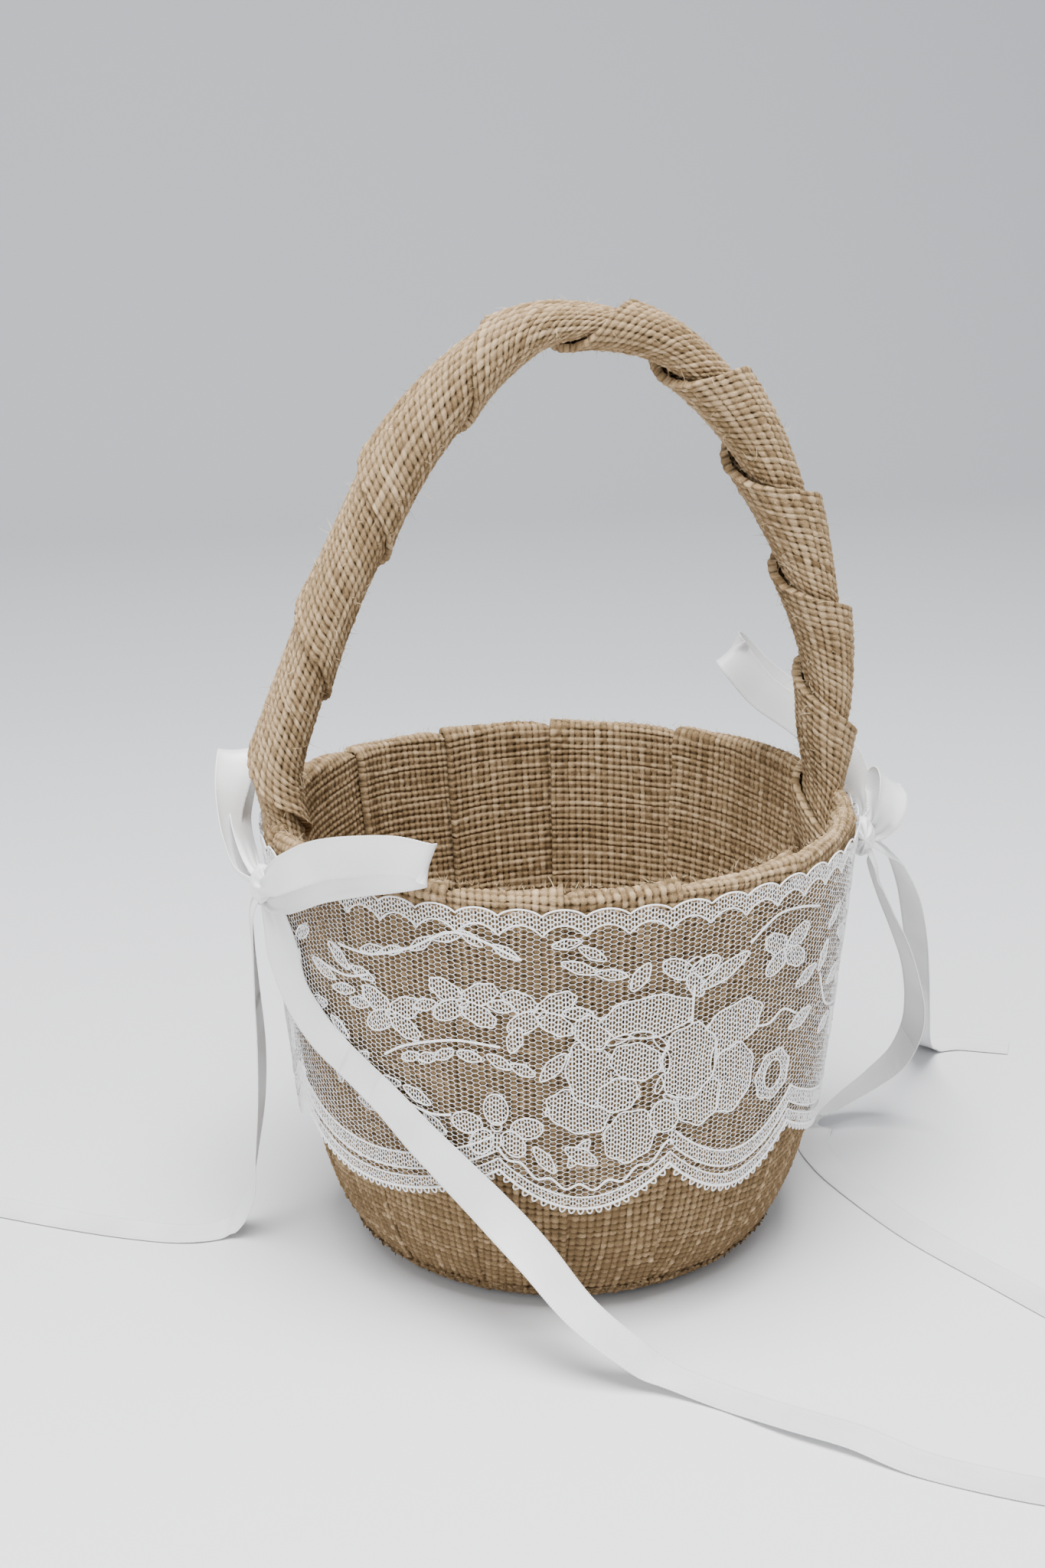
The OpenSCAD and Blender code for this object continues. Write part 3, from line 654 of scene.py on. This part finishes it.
# -------- handle
# Centre line, right foot to left foot: across, height, thickness in its plane, width front to back.
HOOP = (
    (67.2, 92, 3.5, 27), (67.6, 100, 6.5, 24), (68.8, 109, 9, 20), (70, 117, 10.4, 18),
    (70.3, 129, 13, 17), (70.5, 143, 13, 16.5), (67.5, 160, 13.5, 16), (59.5, 184.5, 15, 15),
    (47, 208.5, 14.4, 14.5), (27.5, 228, 11.5, 14), (2, 233.6, 10.8, 14), (-16, 226.5, 14, 14),
    (-34.5, 208, 16, 14.5), (-49, 183, 14, 15), (-60.5, 158, 13.2, 16), (-70.3, 131, 12.6, 17),
    (-70, 117, 10.6, 19), (-68.8, 109, 9, 21), (-67.6, 100, 6.5, 24), (-67.2, 92, 3.5, 27))
FOOT_RUN = 24.8  # length of the hidden run below the rim at each foot
# Where the wrap's edge crosses the outside, as mm along the hoop from the rim, turn after turn.
SEAMS = (-55, -20, 12, 43, 72, 107, 137, 169, 210, 248, 286, 324, 350)
PER_TURN = 96  # mesh rows in one turn of the wrap
WRAP_W = 48  # width of the strip that is wound round


def handle():
    """One strip of burlap wound round the hoop, each turn lying over the one before."""
    p, s = resample(smooth_curve(HOOP, 16), 0.5)
    s = s - FOOT_RUN
    across, height = p[:, 0], p[:, 1]
    ox, oz = outward(across, height)  # away from the hoop's inside
    turns = len(SEAMS) - 1
    rows = turns * PER_TURN
    turn = np.arange(rows) / PER_TURN
    seam = np.interp(turn, np.arange(turns + 1), SEAMS)
    ahead = np.interp(turn - 1, np.arange(turns + 1), SEAMS)
    pitch = np.where(turn < 1, 35, seam - ahead)
    cols = int(WRAP_W / CELL)
    h, gap, warp, tone, jx, jy = weave(rows, cols, 900)
    w = np.arange(cols)[None] * CELL + jx
    w[:, 0] = w[:, 1] + 0.3
    back = w > pitch[:, None] + 5
    u = seam[:, None] - w
    edge_wave = slow_noise(np.random.default_rng(7), 1, rows, 70)[0][:, None]
    # each turn rises towards its edge, which stands proud: as a slope on the right, a lip on the left
    proud = np.interp(u, (0, 20, 130, 170, 300), (1.6, 2.1, 2.1, 1.3, 1.6))
    ramp = (proud + 1.2) * np.clip(1 - w / pitch[:, None], 0, 1) ** 1.3 - 1.2
    right = np.interp(u, (135, 175), (1, 0.25))
    lift = (right * ramp + (1 - right) * (proud * np.exp(-w / 5.5) - 0.2)) * (1 + 0.2 * edge_wave)
    under = np.clip((w - pitch[:, None]) / 5, 0, 1)
    lift = lift - 0.75 * under - 0.25 * np.clip(1 - (pitch[:, None] - w) / 4, 0, 1)
    h = 0.9 * h + lift - 0.55
    h[:, 0] = h[:, 1] - 0.7 - 0.8 * proud[:, 1]
    # round the hoop's rounded section
    theta = 2 * math.pi * (turn[:, None] + jy * 0.02)
    cx, cz = np.interp(u, s, across), np.interp(u, s, height)
    nx, nz = np.interp(u, s, ox), np.interp(u, s, oz)
    thick, wide = np.interp(u, s, p[:, 2]) / 2, np.interp(u, s, p[:, 3]) / 2
    co, si = np.cos(theta), np.sin(theta)
    out = thick * np.sign(co) * np.abs(co) ** 0.9
    dep = wide * np.sign(si) * np.abs(si) ** 0.9
    length = np.hypot(co / thick, si / wide)
    no, nd = co / thick / length, si / wide / length
    out, dep = out + no * h, dep + nd * h
    pts = np.stack([cx + nx * out, -dep, cz + nz * out], -1)
    keep = ~back & (u > -FOOT_RUN + 0.5) & (u < s[-1] - 0.5)
    faces = grid_faces(rows, cols, keep)[:, ::-1]
    uv = np.stack(np.broadcast_arrays(w, turn[:, None] * 44), -1)
    return burlap_piece("handle_wrap", burlap, pts, faces, uv, gap, warp, tone)


handle_points = handle()


# -------- lace
REPEAT, REPEATS = 150.8, 3  # length of the pattern, and how often it is repeated
LACE_ROUND = 452.4  # length of the lace once round the bowl
MM_PER_DEGREE = 1.2566
LACE_START = -150  # direction in which the length along the lace is 0
LEFT_PART = 25.13  # length of the pattern on the left of its own zero
COLS, ROWS, PITCH_Z = 302, 68, 1.2  # the net's cells round the bowl and down it
NET_TOP = LACE_TOP - 0.2
TOP_PITCH = LACE_ROUND / 48  # length of one small scallop along the top edge
TOP_BAND_Z = 105.4
EDGE_BAND, SECOND_BAND = 3.2, (5.4, 9.6)  # bands above the lower edge, up to and from-to
FADE = 6  # the net is pulled out of line less near the lace's edges


def lace_point(s, z, lift):
    """A point on the hanging lace: s in mm round the bowl from its start, z height."""
    az = LACE_START + s / MM_PER_DEGREE
    a = np.radians(az)
    drop = np.clip((LACE_TOP - z) / (LACE_TOP - LACE_LOW), 0, 1.2)
    wave = 0.5 * np.sin(np.radians(az * 9 + 40)) + 0.35 * np.sin(np.radians(az * 5 - 20) + drop * 2)
    hang = 1 - 0.8 * np.exp(-((az + 5) / 42) ** 2)  # the right side lies close to the bowl
    stand_off = (lace_r(z) - wall_r(z) - 0.4 + drop * 0.35 * (1 + 1.5 * wave)) * hang
    r = wall_r(z) + 1.15 + lift + stand_off
    return np.stack([r * np.cos(a), r * np.sin(a), z + 0 * r], -1)


def into_repeat(s):
    """The place in the first repeat that looks like this one."""
    return (s + LEFT_PART) % REPEAT - LEFT_PART


def pattern_direction(s):
    return LACE_START + into_repeat(s) / MM_PER_DEGREE


def lace_low(s):
    """Height of the lace's scalloped lower edge."""
    az = pattern_direction(s)
    out = np.zeros(np.shape(az))
    for lo, hi in zip(SCALLOP_ENDS[:-1], SCALLOP_ENDS[1:]):
        t = (az - lo) / (hi - lo)
        out = np.where((t >= 0) & (t <= 1), np.sin(math.pi * np.clip(t, 0, 1)) ** 0.85, out)
    return LACE_LOW + SCALLOP * (1 - out)


def lace_high(s):
    """Height of the lace's top edge, in small scallops."""
    return LACE_TOP - 2.0 + 2.0 * np.abs(np.sin(math.pi * s / TOP_PITCH)) ** 0.6


def arch_low(s):
    """Height of the lower side of the filled band under the top edge."""
    return TOP_BAND_Z + 3.0 * np.abs(np.sin(math.pi * s / TOP_PITCH)) ** 0.7


def second_band(s, margin=0.0):
    """Where the lower edge has a second band: everywhere but over the middle scallop."""
    az = pattern_direction(s)
    return (az < SCALLOP_ENDS[1] - margin) | (az > SCALLOP_ENDS[2] + margin)


Petal = namedtuple("Petal", "x y turn long wide point", defaults=(0.0,))

# One repeat: x along the lace, y up, turn in degrees, half length and width, how pointed it is.
MOTIFS = tuple(Petal(*row) for row in (
    # two tall flowers of four petals and one on the right
    (15.6, 84.6, 150, 4.6, 2.6), (23.4, 84.2, 28, 4.6, 2.6), (16, 79.6, 212, 4.3, 2.4),
    (23, 79.4, -30, 4.4, 2.4), (34.4, 90.6, 150, 4.4, 2.5), (42.2, 90.4, 28, 4.6, 2.6),
    (34.8, 85.8, 210, 4.2, 2.3), (41.8, 85.4, -30, 4.4, 2.4), (51.6, 89, 150, 4.4, 2.5),
    (59.4, 88.8, 28, 4.8, 2.6), (52.2, 84, 212, 4.3, 2.4), (59.2, 83.8, -30, 4.4, 2.4),
    # small leaves linking the flowers
    (28.9, 86.2, 20, 3, 1.5, 0.3), (47, 88, -8, 3, 1.6, 0.3), (10, 82.6, 8, 3.2, 1.5, 0.3),
    (64.2, 86.4, -6, 3.4, 1.6, 0.3),
    # arching stem with its bud and chain of small leaves
    (50, 79.6, 72, 3.4, 1.9, 0.5), (24, 72, 20, 2.6, 1.3, 0.4), (28.6, 72.6, 15, 2.6, 1.4, 0.4),
    (33, 74.2, 30, 2.8, 1.4, 0.4), (39.2, 74.6, -10, 3, 1.5, 0.4), (46.2, 73.8, -30, 3.2, 1.5, 0.4),
    (51.6, 72, -25, 3, 1.5, 0.4),
    # five-petal flower low on the left
    (45, 61.4, 90, 4, 2.9), (37.8, 57.2, 175, 3.8, 2.7), (52.2, 56.8, 5, 3.8, 2.7),
    (41.2, 52.6, 240, 3.6, 2.6), (48.9, 52.6, -60, 3.6, 2.6),
    # leaves beside it
    (58.6, 72.8, 50, 4.6, 1.9, 0.5), (60.6, 63.4, 35, 4.8, 2.1, 0.5), (56.2, 48.6, 125, 4.2, 1.7, 0.5),
    (64.4, 50.2, 55, 4.4, 1.8, 0.5),
    # sprays under the top edge
    (29, 101.6, 35, 3.4, 1.4, 0.5), (35.4, 104.2, 15, 3.4, 1.3, 0.5),
    (41, 104.4, -35, 3, 1.2, 0.5), (48.6, 101.6, -30, 3.2, 1.3, 0.5),
    (61.8, 103.8, 10, 3.2, 1.3, 0.5), (67.4, 101.2, -30, 3.4, 1.4, 0.5),
    (64.6, 97.8, -20, 4.2, 1.5, 0.5), (71.6, 95.8, -10, 3.6, 1.4, 0.5), (15.4, 97.6, 15, 3.4, 1.3, 0.5),
    (21.4, 98.6, 15, 3, 1.2, 0.5), (12, 90.6, -15, 3.6, 1.4, 0.5), (4.6, 93.2, -40, 4.2, 1.7, 0.5),
    (-2, 88, -20, 4.4, 1.8, 0.5), (5, 84.8, 10, 4, 1.5, 0.5), (-10, 95, 30, 4, 1.6, 0.5),
    (-15, 86, 60, 4, 1.7, 0.5), (-6, 78, 15, 4.2, 1.8, 0.5), (2, 74, -35, 3.6, 1.5, 0.5),
    (8, 67, 40, 4.4, 1.8, 0.5), (16.4, 63.4, 10, 4.2, 1.8, 0.5), (25, 62, -25, 4, 1.7, 0.5),
    (0, 63, 100, 4.2, 1.8, 0.5), (-8.6, 66, 20, 4, 1.7, 0.5), (10, 56, -10, 3.6, 1.5, 0.5),
    (20, 54.6, 30, 3.4, 1.4, 0.5), (29.4, 55.4, -40, 3.6, 1.5, 0.5),
    # leaf and curled bud above the rose
    (78.2, 94.6, 60, 3.8, 1.9, 0.4), (87, 95.4, 150, 4.2, 2.3), (93.6, 95, 20, 4, 2.2),
    (91.4, 90.8, -60, 3.4, 1.8), (99, 92.8, 28, 7.2, 2.1, 0.4),
    # flower on the right of the repeat
    (114.4, 95.6, 150, 4.4, 2.5), (121.8, 95.4, 30, 4.6, 2.5), (115, 90.8, 212, 4.2, 2.3),
    (121.6, 90.6, -30, 4.4, 2.4), (127.6, 83.6, 20, 4.6, 1.8, 0.5), (127, 72.6, 15, 4.8, 2, 0.5),
    # the big rose, its outer petals first
    (64.2, 61.2, 155, 7.6, 5.2), (66.8, 71.2, 96, 8.6, 5.2), (67.4, 81.4, 120, 4.6, 3.6),
    (80.4, 84.2, 4, 11, 5.2), (102, 77.6, 22, 9.2, 5.8), (102.6, 64.4, 80, 8.8, 6.6),
    (76.6, 54, 60, 7, 6), (85, 58.2, 100, 4.2, 3.6), (93.4, 61.6, 100, 7.2, 6),
    (90.6, 71.4, 85, 9.6, 7.2), (73.6, 65, 20, 5, 4.2), (77.6, 73.2, -20, 6.2, 4.6),
    # leaf under the rose
    (65, 49.4, -30, 4.4, 2.1, 0.4),
))
# Holes in the middle of the flowers, the ring and between the petals of the rose.
OPENINGS = tuple(Petal(*row) for row in (
    (19.4, 82, 0, 1.3, 1.1), (38.3, 88.1, 0, 1.3, 1.1), (55.8, 86.6, 0, 1.4, 1.2),
    (118.4, 93.2, 0, 1.3, 1.1), (45, 56.9, 0, 1.3, 1.2), (117.2, 61, 90, 3.9, 3.2),
    (90.6, 96.2, 30, 2.2, 1.3), (73.4, 79.2, 20, 2.8, 0.9), (78.9, 79.9, -8, 2.8, 0.9),
    (83.4, 77.2, -50, 2.6, 0.9), (84.9, 72.2, -88, 2.8, 0.9), (83.6, 66.8, 70, 2.6, 0.9),
    (97.2, 70.6, 85, 3.2, 0.8), (86.4, 62.6, -30, 2.2, 0.7)))
RING = Petal(117.2, 61, 90, 6.3, 6.3)
STEMS = (
    ((16.6, 70.9), (23.4, 74.8), (35.6, 78.2), (46.6, 77.6)),
    ((105.6, 98.2), (113.4, 103.2), (121.6, 103), (130, 100.8)),
    ((91.2, 91), (91, 86), (91, 81)),
    ((109.4, 76), (114, 75.4), (118.8, 77.6), (124.4, 74.8)),
    ((5, 96.4), (15, 96.2), (26, 100), (38, 105.6), (52, 99.8)),
    ((-4, 90), (6, 88.6), (14, 90.8)),
    ((10, 59), (18, 60.4), (28, 58), (34, 58.6)),
    ((-16, 82), (-10, 72), (0, 68), (12, 66)),
)


RUFFLED = 4.3  # half length above which a round petal's edge is wavy


def ruffle(shape, u, v):
    """How far a petal's edge waves in and out at each direction."""
    if shape.long <= RUFFLED or shape.point:
        return 1
    return 1 + 0.05 * np.sin(7 * np.arctan2(v, u) + shape.x)


def inside(shape, x, y):
    """Which places lie inside a petal."""
    co, si = math.cos(math.radians(shape.turn)), math.sin(math.radians(shape.turn))
    u = ((x - shape.x) * co + (y - shape.y) * si) / shape.long
    v = (-(x - shape.x) * si + (y - shape.y) * co) / shape.wide
    return u * u + (np.abs(v) * (1 + shape.point * np.abs(u))) ** 2 < ruffle(shape, u, v) ** 2


def outline(shape, n=44):
    """A petal's edge as a closed line."""
    co, si = math.cos(math.radians(shape.turn)), math.sin(math.radians(shape.turn))
    a = np.linspace(0, 2 * math.pi, n)
    wavy = ruffle(shape, np.cos(a), np.sin(a))
    u = np.cos(a) * wavy
    v = np.sin(a) * wavy / (1 + shape.point * np.abs(u))
    return np.stack([shape.x + u * shape.long * co - v * shape.wide * si,
                     shape.y + u * shape.long * si + v * shape.wide * co], 1)


def is_cloth(s, z):
    """Where the lace is filled in."""
    x = into_repeat(s)
    out = np.zeros(np.shape(s), bool)
    for shape in MOTIFS + (RING,):
        for shift in (0, REPEAT, -REPEAT):
            out |= inside(shape, x + shift, z)
    for shape in OPENINGS:
        out &= ~inside(shape, x, z)
    above = z - lace_low(s)
    out |= z > arch_low(s)
    out |= above < EDGE_BAND
    out |= second_band(s) & (above > SECOND_BAND[0]) & (above < SECOND_BAND[1])
    return out


def lace_cells():
    """Columns and rows of the net's cells and where their middles are, every other column lower."""
    i, j = np.meshgrid(np.arange(COLS), np.arange(ROWS), indexing="ij")
    i, j = i.ravel(), j.ravel()
    s = i * LACE_ROUND / COLS
    z = NET_TOP - (j + 0.5 * (i % 2)) * PITCH_Z
    ok = (z < lace_high(s) - 0.5) & (z > lace_low(s) + 0.5)
    return i[ok], j[ok], s[ok], z[ok]


# Corners of a cell in tenths of a column and half rows, and the share of it that is open.
HEX, OPEN_SHARE = np.array(((3, 1), (7, 0), (3, -1), (-3, -1), (-7, 0), (-3, 1))), 0.92
KEY, KEY_LOW = 1000, 400  # a corner's place is one whole number, as its key


def lace_mesh():
    """The band itself: one connected net, with its filled parts slit finely."""
    i, j, s, z = lace_cells()
    cloth = is_cloth(s, z)
    unit_s, unit_z = LACE_ROUND / COLS / 10, PITCH_Z / 2
    su = (10 * i[:, None] + HEX[None, :, 0]) % (10 * COLS)
    zu = -(2 * j + i % 2)[:, None] + HEX[None, :, 1]
    uniq, inv = np.unique((su * KEY + zu + KEY_LOW).ravel(), return_inverse=True)
    ridge_s, ridge_z = uniq // KEY * unit_s, NET_TOP + (uniq % KEY - KEY_LOW) * unit_z
    inv = inv.reshape(-1, 6)
    # open cells: a six-sided hole
    o = np.flatnonzero(~cloth)
    hs = s[o, None] + HEX[None, :, 0] * unit_s * OPEN_SHARE
    hz = z[o, None] + HEX[None, :, 1] * unit_z * OPEN_SHARE
    hid = len(uniq) + np.arange(len(o) * 6).reshape(-1, 6)
    quads = [np.stack([inv[o, q - 1], inv[o, q], hid[:, q], hid[:, q - 1]], 1) for q in range(6)]
    # filled cells: corners A to F, a pillar from T to M, and five-sided slits on its left and right
    f = np.flatnonzero(cloth)
    fx = np.array([0, 0, -0.53, -0.15, -0.15, -0.53, -0.76, 0.15, 0.53, 0.53, 0.15, 0.76])
    fy = np.array([0.6, -0.6] + [0.45, 0.45, -0.41, -0.41, 0.0] * 2)
    fs, fz = s[f, None] + fx, z[f, None] + fy
    fid = len(uniq) + len(o) * 6 + np.arange(len(f) * 12).reshape(-1, 12)
    B, C, D, E, F, A = inv[f].T
    T, M, l1, l2, l3, l4, l5, r1, r2, r3, r4, r5 = fid.T
    quads += [np.stack(v, 1) for v in (
        (A, l1, l2, T), (T, l2, l3, M), (M, l3, l4, E), (A, F, l5, l1), (F, E, l4, l5),
        (T, r1, r2, B), (T, M, r4, r1), (M, D, r3, r4), (B, r2, r5, C), (C, r5, r3, D))]
    flat_s = np.concatenate([ridge_s, hs.ravel(), fs.ravel()])
    flat_z = np.concatenate([ridge_z, hz.ravel(), fz.ravel()])
    lift = np.concatenate([np.full(len(uniq), 0.12), np.full(hs.size, 0.0),
                           np.tile(np.array([0.20, 0.20] + [0.03] * 10), len(f))])
    shade = np.concatenate([np.zeros(len(uniq)), np.full(hs.size, 0.10),
                            np.tile(np.array([0.0, 0.0] + [0.25] * 10), len(f))])
    lift = lift + 0.05 * np.random.default_rng(33).normal(size=lift.shape)
    once = 2 * math.pi / LACE_ROUND
    pull_s = 0.16 * np.sin(flat_s * 22 * once + 1.3 * np.sin(flat_z * 0.22)) + 0.10 * np.sin(flat_z * 0.6)
    pull_z = 0.22 * np.sin(flat_s * 12 * once + flat_z * 0.09) + 0.10 * np.sin(flat_s * 45 * once)
    fade = np.clip((LACE_TOP - flat_z) / FADE, 0, 1) * np.clip((flat_z - lace_low(flat_s)) / FADE, 0, 1)
    pts = lace_point(flat_s + pull_s * fade, flat_z + pull_z * fade, lift)
    obj = mesh_object("lace_band", pts, np.vstack(quads)[:, ::-1], lace_thread,
                      np.stack([flat_s, flat_z], 1), {"shade": shade}, smooth=False)
    on_basket(obj)
    return obj


THREAD_SECTION = ((-0.5, 0.02), (-0.28, 0.75), (0.0, 1.0), (0.28, 0.75), (0.5, 0.02))


class Cords:
    """Fine raised threads laid on the lace, gathered into one mesh."""

    def __init__(self):
        self.pts, self.quads, self.uv, self.count = [], [], [], 0

    def lay(self, p, width, height):
        """Lays a thread along a line in the flat lace."""
        rows, m = len(p), len(THREAD_SECTION)
        d = unit(np.gradient(p, axis=0))
        aside = np.stack([-d[:, 1], d[:, 0]], 1)
        ring = []
        for place, rise in THREAD_SECTION:
            q = p + aside * place * width
            ring.append(lace_point(q[:, 0], q[:, 1], height * rise + 0.03))
        self.pts.append(np.stack(ring, 1).reshape(-1, 3))
        self.quads.append(grid_faces(rows, m) + self.count)
        s = np.r_[0, np.cumsum(np.linalg.norm(np.diff(p, axis=0), axis=1))]
        self.uv.append(np.stack([np.tile(np.arange(m) * 0.12, rows), np.repeat(s, m)], 1))
        self.count += rows * m

    def build(self, name):
        obj = mesh_object(name, np.vstack(self.pts), np.vstack(self.quads), lace_thread,
                          np.vstack(self.uv), {"shade": np.zeros(self.count)})
        on_basket(obj)
        return obj


def dense(line, step=0.55):
    """A smooth line through a stem's points."""
    q = smooth_curve(line, 10)
    return resample(np.column_stack([q, np.zeros(len(q))]), step)[0][:, :2]


def runs(shown):
    """Stretches of a line along which `shown` doesn't change."""
    return np.split(np.arange(len(shown)), np.flatnonzero(np.diff(shown.astype(int))) + 1)


def motif_threads():
    """A raised thread round every petal, where no later petal covers it, and along the stems."""
    threads = Cords()
    shapes = MOTIFS + (RING,)
    for off in np.arange(REPEATS) * REPEAT:
        for order, shape in enumerate(shapes + OPENINGS):
            line = outline(shape)
            shown = line[:, 1] > lace_low(line[:, 0]) + 1
            for later in shapes[order + 1:]:
                if math.hypot(later.x - shape.x, later.y - shape.y) < 24:
                    shown &= ~inside(later, line[:, 0], line[:, 1])
            for run in runs(shown):
                if shown[run[0]] and len(run) > 2:
                    threads.lay(line[run] + (off, 0), 0.36, 0.30)
        for stem in STEMS:
            threads.lay(dense(stem) + (off, 0), 0.62, 0.36)
    return threads.build("lace_outlines")


def edge_threads():
    """Threads along the lace's edges and bands, and the small loops under its lower edge."""
    threads = Cords()
    s = np.arange(0, LACE_ROUND + 0.3, 0.45)
    low = lace_low(s)
    for height, width, thick in ((lace_high(s) - 0.15, 0.42, 0.34), (arch_low(s), 0.40, 0.30),
                                 (low + 0.2, 0.7, 0.42), (low + EDGE_BAND + 0.1, 0.42, 0.34)):
        threads.lay(np.stack([s, height], 1), width, thick)
    double = second_band(s, 0.5)
    for run in runs(double):
        if double[run[0]] and len(run) > 4:
            for rise in SECOND_BAND:
                threads.lay(np.stack([s[run], low[run] + rise + 0.1], 1), 0.5, 0.36)
        elif len(run) > 4:
            wavy = low[run] + 6.0 + 0.9 * np.sin(s[run] * 0.9)
            threads.lay(np.stack([s[run], wavy], 1), 0.6, 0.36)
    t = np.linspace(0, math.pi, 7)
    for c in np.arange(1.1, LACE_ROUND, 2.2):
        before, here, after = lace_low(np.array((c - 0.4, c, c + 0.4)))
        tilt = math.atan((after - before) / 0.8)
        lx, ly = 0.72 * np.cos(t), -1.35 * np.sin(t)
        x = c + lx * math.cos(tilt) - ly * math.sin(tilt)
        y = here + 0.1 + lx * math.sin(tilt) + ly * math.cos(tilt)
        threads.lay(np.stack([x, y], 1), 0.42, 0.30)
    return threads.build("lace_edges")


lace = lace_mesh()
threads = [motif_threads(), edge_threads()]
for piece in [lace] + threads:
    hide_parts("lace_band")


# -------- loose fibres
BITS, HALF_HAIR = 5, 0.055  # points along a hair, and half its width at the root


def fuzz(name, roots, away, seed, count, reach):
    """Fine jute hairs standing off the cloth."""
    rng = np.random.default_rng(seed)
    pick = rng.integers(0, len(roots), count)
    pts, quads, tones = [], [], []
    for root in pick:
        p = roots[root].copy()
        d = unit(away[root] + 0.9 * rng.normal(size=3))
        size = reach * (0.35 + rng.random() ** 2)
        curl = 0.55 * rng.normal(size=3)
        aside = unit(np.cross(d, rng.normal(size=3)))
        base = len(pts)
        for q in range(BITS):
            w = HALF_HAIR * (1 - 0.7 * q / (BITS - 1))
            pts.extend((p - aside * w, p + aside * w))
            p = p + d * size / BITS
            d = unit(d + curl / BITS)
        for q in range(base, base + 2 * BITS - 2, 2):
            quads.append((q, q + 1, q + 3, q + 2))
        tones.extend([rng.random()] * (2 * BITS))
    obj = mesh_object(name, np.array(pts), np.array(quads), hair, np.zeros((len(pts), 2)), {"tone": tones})
    on_basket(obj)


def handle_fibres():
    """Hairs on the handle above the rim, standing off from its centre line."""
    line = smooth_curve(HOOP, 8)[::4]
    roots = handle_points[::7]
    apart = ((roots[:, None, (0, 2)] - line[None, :, :2]) ** 2).sum(-1)
    centre = line[apart.argmin(1)]
    away = np.stack([roots[:, 0] - centre[:, 0], roots[:, 1], roots[:, 2] - centre[:, 1]], 1)
    shown = roots[:, 2] > RIM_Z + 2
    fuzz("handle_fibres", roots[shown], unit(away[shown]), 11, 2600, 3.6)


def rim_fibres():
    """Hairs standing up from three rings round the rim."""
    a = np.radians(np.arange(0, 360, 0.5))
    middle = float(wall_r(LIP_Z)) - WALL / 2
    rings = [np.stack([(middle + out) * np.cos(a), (middle + out) * np.sin(a), np.full(len(a), z)], 1)
             for out, z in ((0, RIM_Z + 0.6), (1.6, RIM_Z - 0.4), (-1.6, RIM_Z - 0.4))]
    roots = np.concatenate(rings)
    fuzz("rim_fibres", roots, np.tile((0.0, 0.0, 1.0), (len(roots), 1)), 12, 1300, 2.6)


handle_fibres()
rim_fibres()

# -------- hidden parts
board = board_material()
for hidden in ("bowl_core", "handle_core"):
    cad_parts[hidden].data.materials.clear()
    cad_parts[hidden].data.materials.append(board)


# -------- floor, backdrop and light
def backdrop():
    """Paper that lies flat under the basket and curves up behind it, its outline in metres."""
    line = [(y, 0.0) for y in (-3.0, -0.15, 0.0, 0.1, 0.3, 0.6, 1.1)]
    line += [(1.1 + 0.6 * math.sin(a), 0.6 - 0.6 * math.cos(a)) for a in np.linspace(0.1, math.pi / 2, 14)]
    line += [(1.7, 3.0)]
    sweep = np.array([(x, y / MM, z / MM) for y, z in line for x in (-4000, 4000)], float)
    quads = np.array([(2 * k, 2 * k + 1, 2 * k + 3, 2 * k + 2) for k in range(len(line) - 1)])
    # painted shade: the paper goes from pale on the floor to a darker, cooler grey up the backdrop, where
    # less light reaches
    rise = np.interp(sweep[:, 1] + sweep[:, 2], (-150, 100, 600, 1600), (0, 0.45, 0.92, 1))
    mesh_object("floor", sweep, quads, floor_material(), values={"rise": rise})


backdrop()
world = bpy.data.worlds.new("studio")
world.use_nodes = True
sky = world.node_tree.nodes["Background"]
sky.inputs["Color"].default_value = (0.93, 0.96, 1.0, 1)
sky.inputs["Strength"].default_value = 0.70
scene.world = world


def soft_light(name, place, target, size, power):
    data = bpy.data.lights.new(name, "AREA")
    data.shape = "SQUARE"
    data.size = size
    data.energy = power
    obj = bpy.data.objects.new(name, data)
    obj.location = place
    obj.rotation_euler = (Vector(target) - Vector(place)).to_track_quat("-Z", "Y").to_euler()
    scene.collection.objects.link(obj)


soft_light("overhead", (-0.10, -0.30, 1.25), (0.0, -0.05, 0.0), 0.8, 46)
soft_light("front", (-0.9, -1.2, 0.8), (0, 0, 0.12), 1.0, 9)
